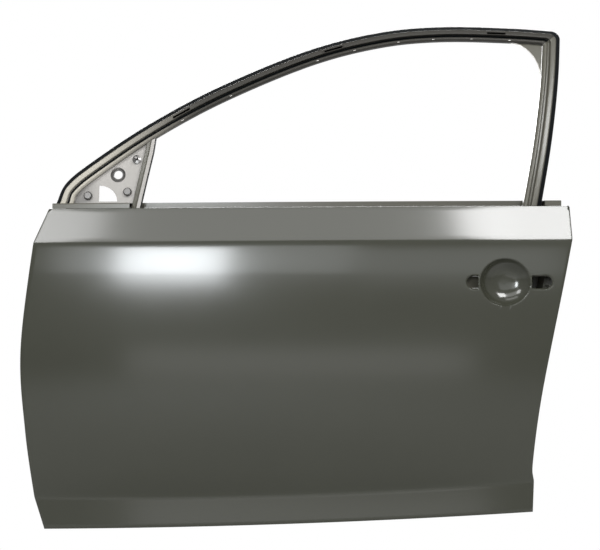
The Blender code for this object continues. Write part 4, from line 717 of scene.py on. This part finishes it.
def add_frame():
    header, header_across, pillar, pillar_across = frame_paths()
    section = sheet_outline(softened(RAIL_SECTION, RAIL_BEND), RAIL_GAUGE)
    rail = sweep("header_shell", header, header_across, section, (OUTER_BAND, SHADED_GROOVE_BAND))
    cut_from(rail, slot_cutter(header))
    # the outer band is dark, and the groove band is darkened as painted shade
    attach(rail, "header_rail", HEADER_PRIMER_AND_HIGHLIGHT, DARK_PRIMER_AND_SHADE, DARK_PRIMER_AND_SHADE)
    rail = sweep("pillar_shell", pillar, pillar_across, section, (OUTER_BAND,))
    attach(rail, "rear_pillar_rail", INSIDE_PRIMER, DARK_PRIMER_AND_SHADE)


def inner_edge():
    """Inner edge of the header and of the pillar, just clear of the rails."""
    header, header_across, pillar, pillar_across = frame_paths()
    reach = RAIL_WIDTH + RAIL_GAUGE / 2 + GAP
    return ([q + n * reach for q, n in zip(header, header_across)],
            [q + n * reach for q, n in zip(pillar, pillar_across)])


def height_on(path, x):
    return float(np.interp(x, [q[0] for q in path], [q[1] for q in path]))


def add_divider():
    """Divider bar of the window frame, which leans back as it rises."""
    upper = inner_edge()[0]
    left = DIVIDER_TOP_X
    top = np.array((left, height_on(upper, left)))
    right = np.array((left + DIVIDER_WIDTH, height_on(upper, left + DIVIDER_WIDTH)))
    belt = belt_z(DIVIDER_BELT_X)
    lean = (DIVIDER_TOP_X - DIVIDER_BELT_X) / (top[1] - belt)
    path = [top]
    for z in np.linspace(top[1] - DIVIDER_WIDTH, belt - DIVIDER_TAIL, DIVIDER_STEPS):
        path.append(np.array((DIVIDER_BELT_X + lean * (z - belt), z)))
    across = [(right - top) / DIVIDER_WIDTH] + [HORIZONTAL] * (len(path) - 1)
    half, edge = DIVIDER_WIDTH / 2, RAIL_GAUGE / 2
    section = ((edge, DIVIDER_DEPTH), (edge, DIVIDER_LEVELS[0]), (half - RAIL_GAUGE, DIVIDER_LEVELS[1]),
               (half, DIVIDER_LEVELS[2]), (DIVIDER_WIDTH - edge, DIVIDER_LEVELS[3]),
               (DIVIDER_WIDTH - edge, DIVIDER_DEPTH))
    outline = sheet_outline(softened(section, DIVIDER_BEND), RAIL_GAUGE)
    bar = sweep("divider_shell", path, across, outline, (DIVIDER_EDGE_BAND, DIVIDER_LIGHT_BAND))
    attach(bar, "divider_bar", INSIDE_PRIMER, DARK_PRIMER_AND_SHADE, PLATE_PRIMER_AND_SHADE)


def add_bead(points, faces, path, radius, sides=10):
    """Closed round bead along a path of points in space, lying mostly in the frame's face."""
    first = len(points)
    for i, q in enumerate(path):
        step = unit(path[min(i + 1, len(path) - 1)] - path[max(i - 1, 0)])
        side = unit(np.cross(step, (0.0, 1.0, 0.0)))
        up = np.cross(side, step)
        for a in np.linspace(0, 2 * math.pi, sides, endpoint=False):
            points.append(tuple(q + radius * (math.cos(a) * side + math.sin(a) * up)))
    for i in range(len(path) - 1):
        for j in range(sides):
            a, b = first + i * sides + j, first + i * sides + (j + 1) % sides
            faces.append((a, b, b + sides, a + sides))
    faces.append(list(range(first, first + sides))[::-1])
    faces.append(list(range(len(points) - sides, len(points))))


def beads(name, paths, radius, finish):
    points, faces = [], []
    for path in paths:
        add_bead(points, faces, path, radius)
    made = link(name, points, faces, 40.0)
    made.data.materials.append(finish)
    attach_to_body(made, "root")
    return made


def add_gusset_bead():
    """Rolled edge along the free side of the gusset in the frame's rear corner, in a near-white finish
    that paints the highlight along it.
    """
    upper, side = inner_edge()
    corner = upper[-1]
    start = np.array((corner[0] - GUSSET_REACH, height_on(upper, corner[0] - GUSSET_REACH)))
    low = corner[1] - GUSSET_REACH
    end = np.array((float(np.interp(-low, [-q[1] for q in side], [q[0] for q in side])), low))
    centre = np.array((start[0], end[1]))
    half_x, half_z = end[0] - centre[0], start[1] - centre[1]
    path = []
    for a in np.linspace(GUSSET_BEAD_END, math.pi / 2 - GUSSET_BEAD_END, GUSSET_BEAD_STEPS):
        x = centre[0] + (half_x - GUSSET_BEAD) * math.cos(a)
        z = centre[1] + (half_z - GUSSET_BEAD) * math.sin(a)
        path.append(np.array((x, float(frame_y(x, z)) + GUSSET_DEPTH - GUSSET_BEAD, z)))
    beads("gusset_bead", [path], GUSSET_BEAD, PAINTED_LIGHT_FINISH)


def add_lip_spots():
    """Small raised spots on the inner lip of the header, where the glass run clips in, in a near-white
    finish that paints light showing through the lip's notches.
    """
    header, header_across = frame_paths()[:2]
    lip = [q + n * LIP_PLACE for q, n in zip(header, header_across)]
    paths = []
    for x in LIP_SPOTS_X:
        path = []
        for px in np.linspace(x - LIP_SPOT_LENGTH / 2, x + LIP_SPOT_LENGTH / 2, 5):
            z = height_on(lip, px)
            path.append(np.array((px, float(frame_y(px, z)) + LIP_LEVEL, z)))
        paths.append(path)
    beads("lip_spots", paths, LIP_SPOT_RADIUS, PAINTED_LIGHT_FINISH)


attach(door_skin(), "outer_panel", PRIMER)
add_frame()
add_divider()
add_gusset_bead()
add_lip_spots()


# Stage
FLOOR_Z = -0.62
FLOOR_LOW, FLOOR_HIGH = -5, 6


def stage_material(name, shade):
    """Plain pale finish that the camera sees as white."""
    made = bpy.data.materials.new(name)
    made.use_nodes = True
    tree = made.node_tree
    tree.nodes.clear()
    out = tree.nodes.new("ShaderNodeOutputMaterial")
    plain = tree.nodes.new("ShaderNodeBsdfDiffuse")
    plain.inputs["Color"].default_value = (shade, shade, shade, 1)
    white = tree.nodes.new("ShaderNodeEmission")
    white.inputs["Color"].default_value = (1, 1, 1, 1)
    ray = tree.nodes.new("ShaderNodeLightPath")
    mix = tree.nodes.new("ShaderNodeMixShader")
    tree.links.new(ray.outputs["Is Camera Ray"], mix.inputs["Fac"])
    tree.links.new(plain.outputs["BSDF"], mix.inputs[1])
    tree.links.new(white.outputs["Emission"], mix.inputs[2])
    tree.links.new(mix.outputs["Shader"], out.inputs["Surface"])
    return made


floor_corners = ((FLOOR_LOW, FLOOR_LOW), (FLOOR_HIGH, FLOOR_LOW), (FLOOR_HIGH, FLOOR_HIGH),
                 (FLOOR_LOW, FLOOR_HIGH))
floor = link("floor", [(x, y, FLOOR_Z) for x, y in floor_corners], [(0, 1, 2, 3)])
floor.data.materials.append(stage_material("floor", 0.4))

world = bpy.data.worlds.new("studio")
bpy.context.scene.world = world
world.use_nodes = True
sky = world.node_tree
backdrop = sky.nodes["Background"]
ray = sky.nodes.new("ShaderNodeLightPath")
level = sky.nodes.new("ShaderNodeMapRange")
level.inputs["To Min"].default_value = 0.42
level.inputs["To Max"].default_value = 1.0
sky.links.new(ray.outputs["Is Camera Ray"], level.inputs["Value"])
sky.links.new(level.outputs["Result"], backdrop.inputs["Strength"])
backdrop.inputs["Color"].default_value = (1, 1, 1, 1)


def softbox(name, place, target, size, power, colour=(1, 1, 1)):
    """Rectangular studio lamp, aimed at a target."""
    data = bpy.data.lights.new(name, "AREA")
    data.shape = "RECTANGLE"
    data.size, data.size_y = size
    data.energy = power
    data.color = colour
    made = bpy.data.objects.new(name, data)
    bpy.context.scene.collection.objects.link(made)
    made.location = place
    aim = Vector(target) - Vector(place)
    made.rotation_euler = aim.to_track_quat("-Z", "Y").to_euler()


softbox("front_box", (-0.22, -3.05, 0.62), (0.29, -0.05, 0.06), (0.66, 0.90), 38, (0.93, 0.97, 1.0))
softbox("front_glow", (-0.05, -3.25, 0.76), (0.30, -0.05, 0.10), (1.9, 1.0), 13, (0.95, 0.98, 1.0))
softbox("front_right", (1.55, -3.20, 0.64), (0.90, -0.05, 0.10), (1.3, 0.9), 4.2, (0.95, 0.98, 1.0))
softbox("sill_strip", (0.55, -3.10, -0.47), (0.55, 0.0, -0.47), (2.1, 0.22), 1.7)
softbox("floor_near", (0.55, -0.90, 2.60), (0.55, -0.90, -0.60), (1.8, 0.5), 6)
softbox("over_middle", (0.55, -2.35, 2.60), (0.55, 0.0, 0.15), (2.6, 1.2), 22)
softbox("over_right", (2.25, -2.35, 2.60), (1.0, 0.0, 0.15), (1.3, 1.3), 85)
softbox("over_left", (-1.35, -2.35, 2.60), (0.1, 0.0, 0.15), (1.1, 1.1), 36)
softbox("back_box", (0.60, 2.80, 1.40), (0.60, 0.0, 0.10), (2.6, 1.6), 170)

# Camera: level, facing the skin, as in the photograph
CAMERA_PLACE = (0.566, -3.060, 0.054)
VIEW_WIDTH = 1.29
VIEW_DISTANCE = 3.0
eye = bpy.data.cameras.new("camera")
eye.sensor_fit = "HORIZONTAL"
eye.angle = 2 * math.atan(VIEW_WIDTH / 2 / VIEW_DISTANCE)
camera = bpy.data.objects.new("camera", eye)
bpy.context.scene.collection.objects.link(camera)
camera.location = CAMERA_PLACE
camera.rotation_euler = (math.pi / 2, 0, 0)
bpy.context.scene.camera = camera
bpy.context.scene.view_settings.view_transform = "Standard"
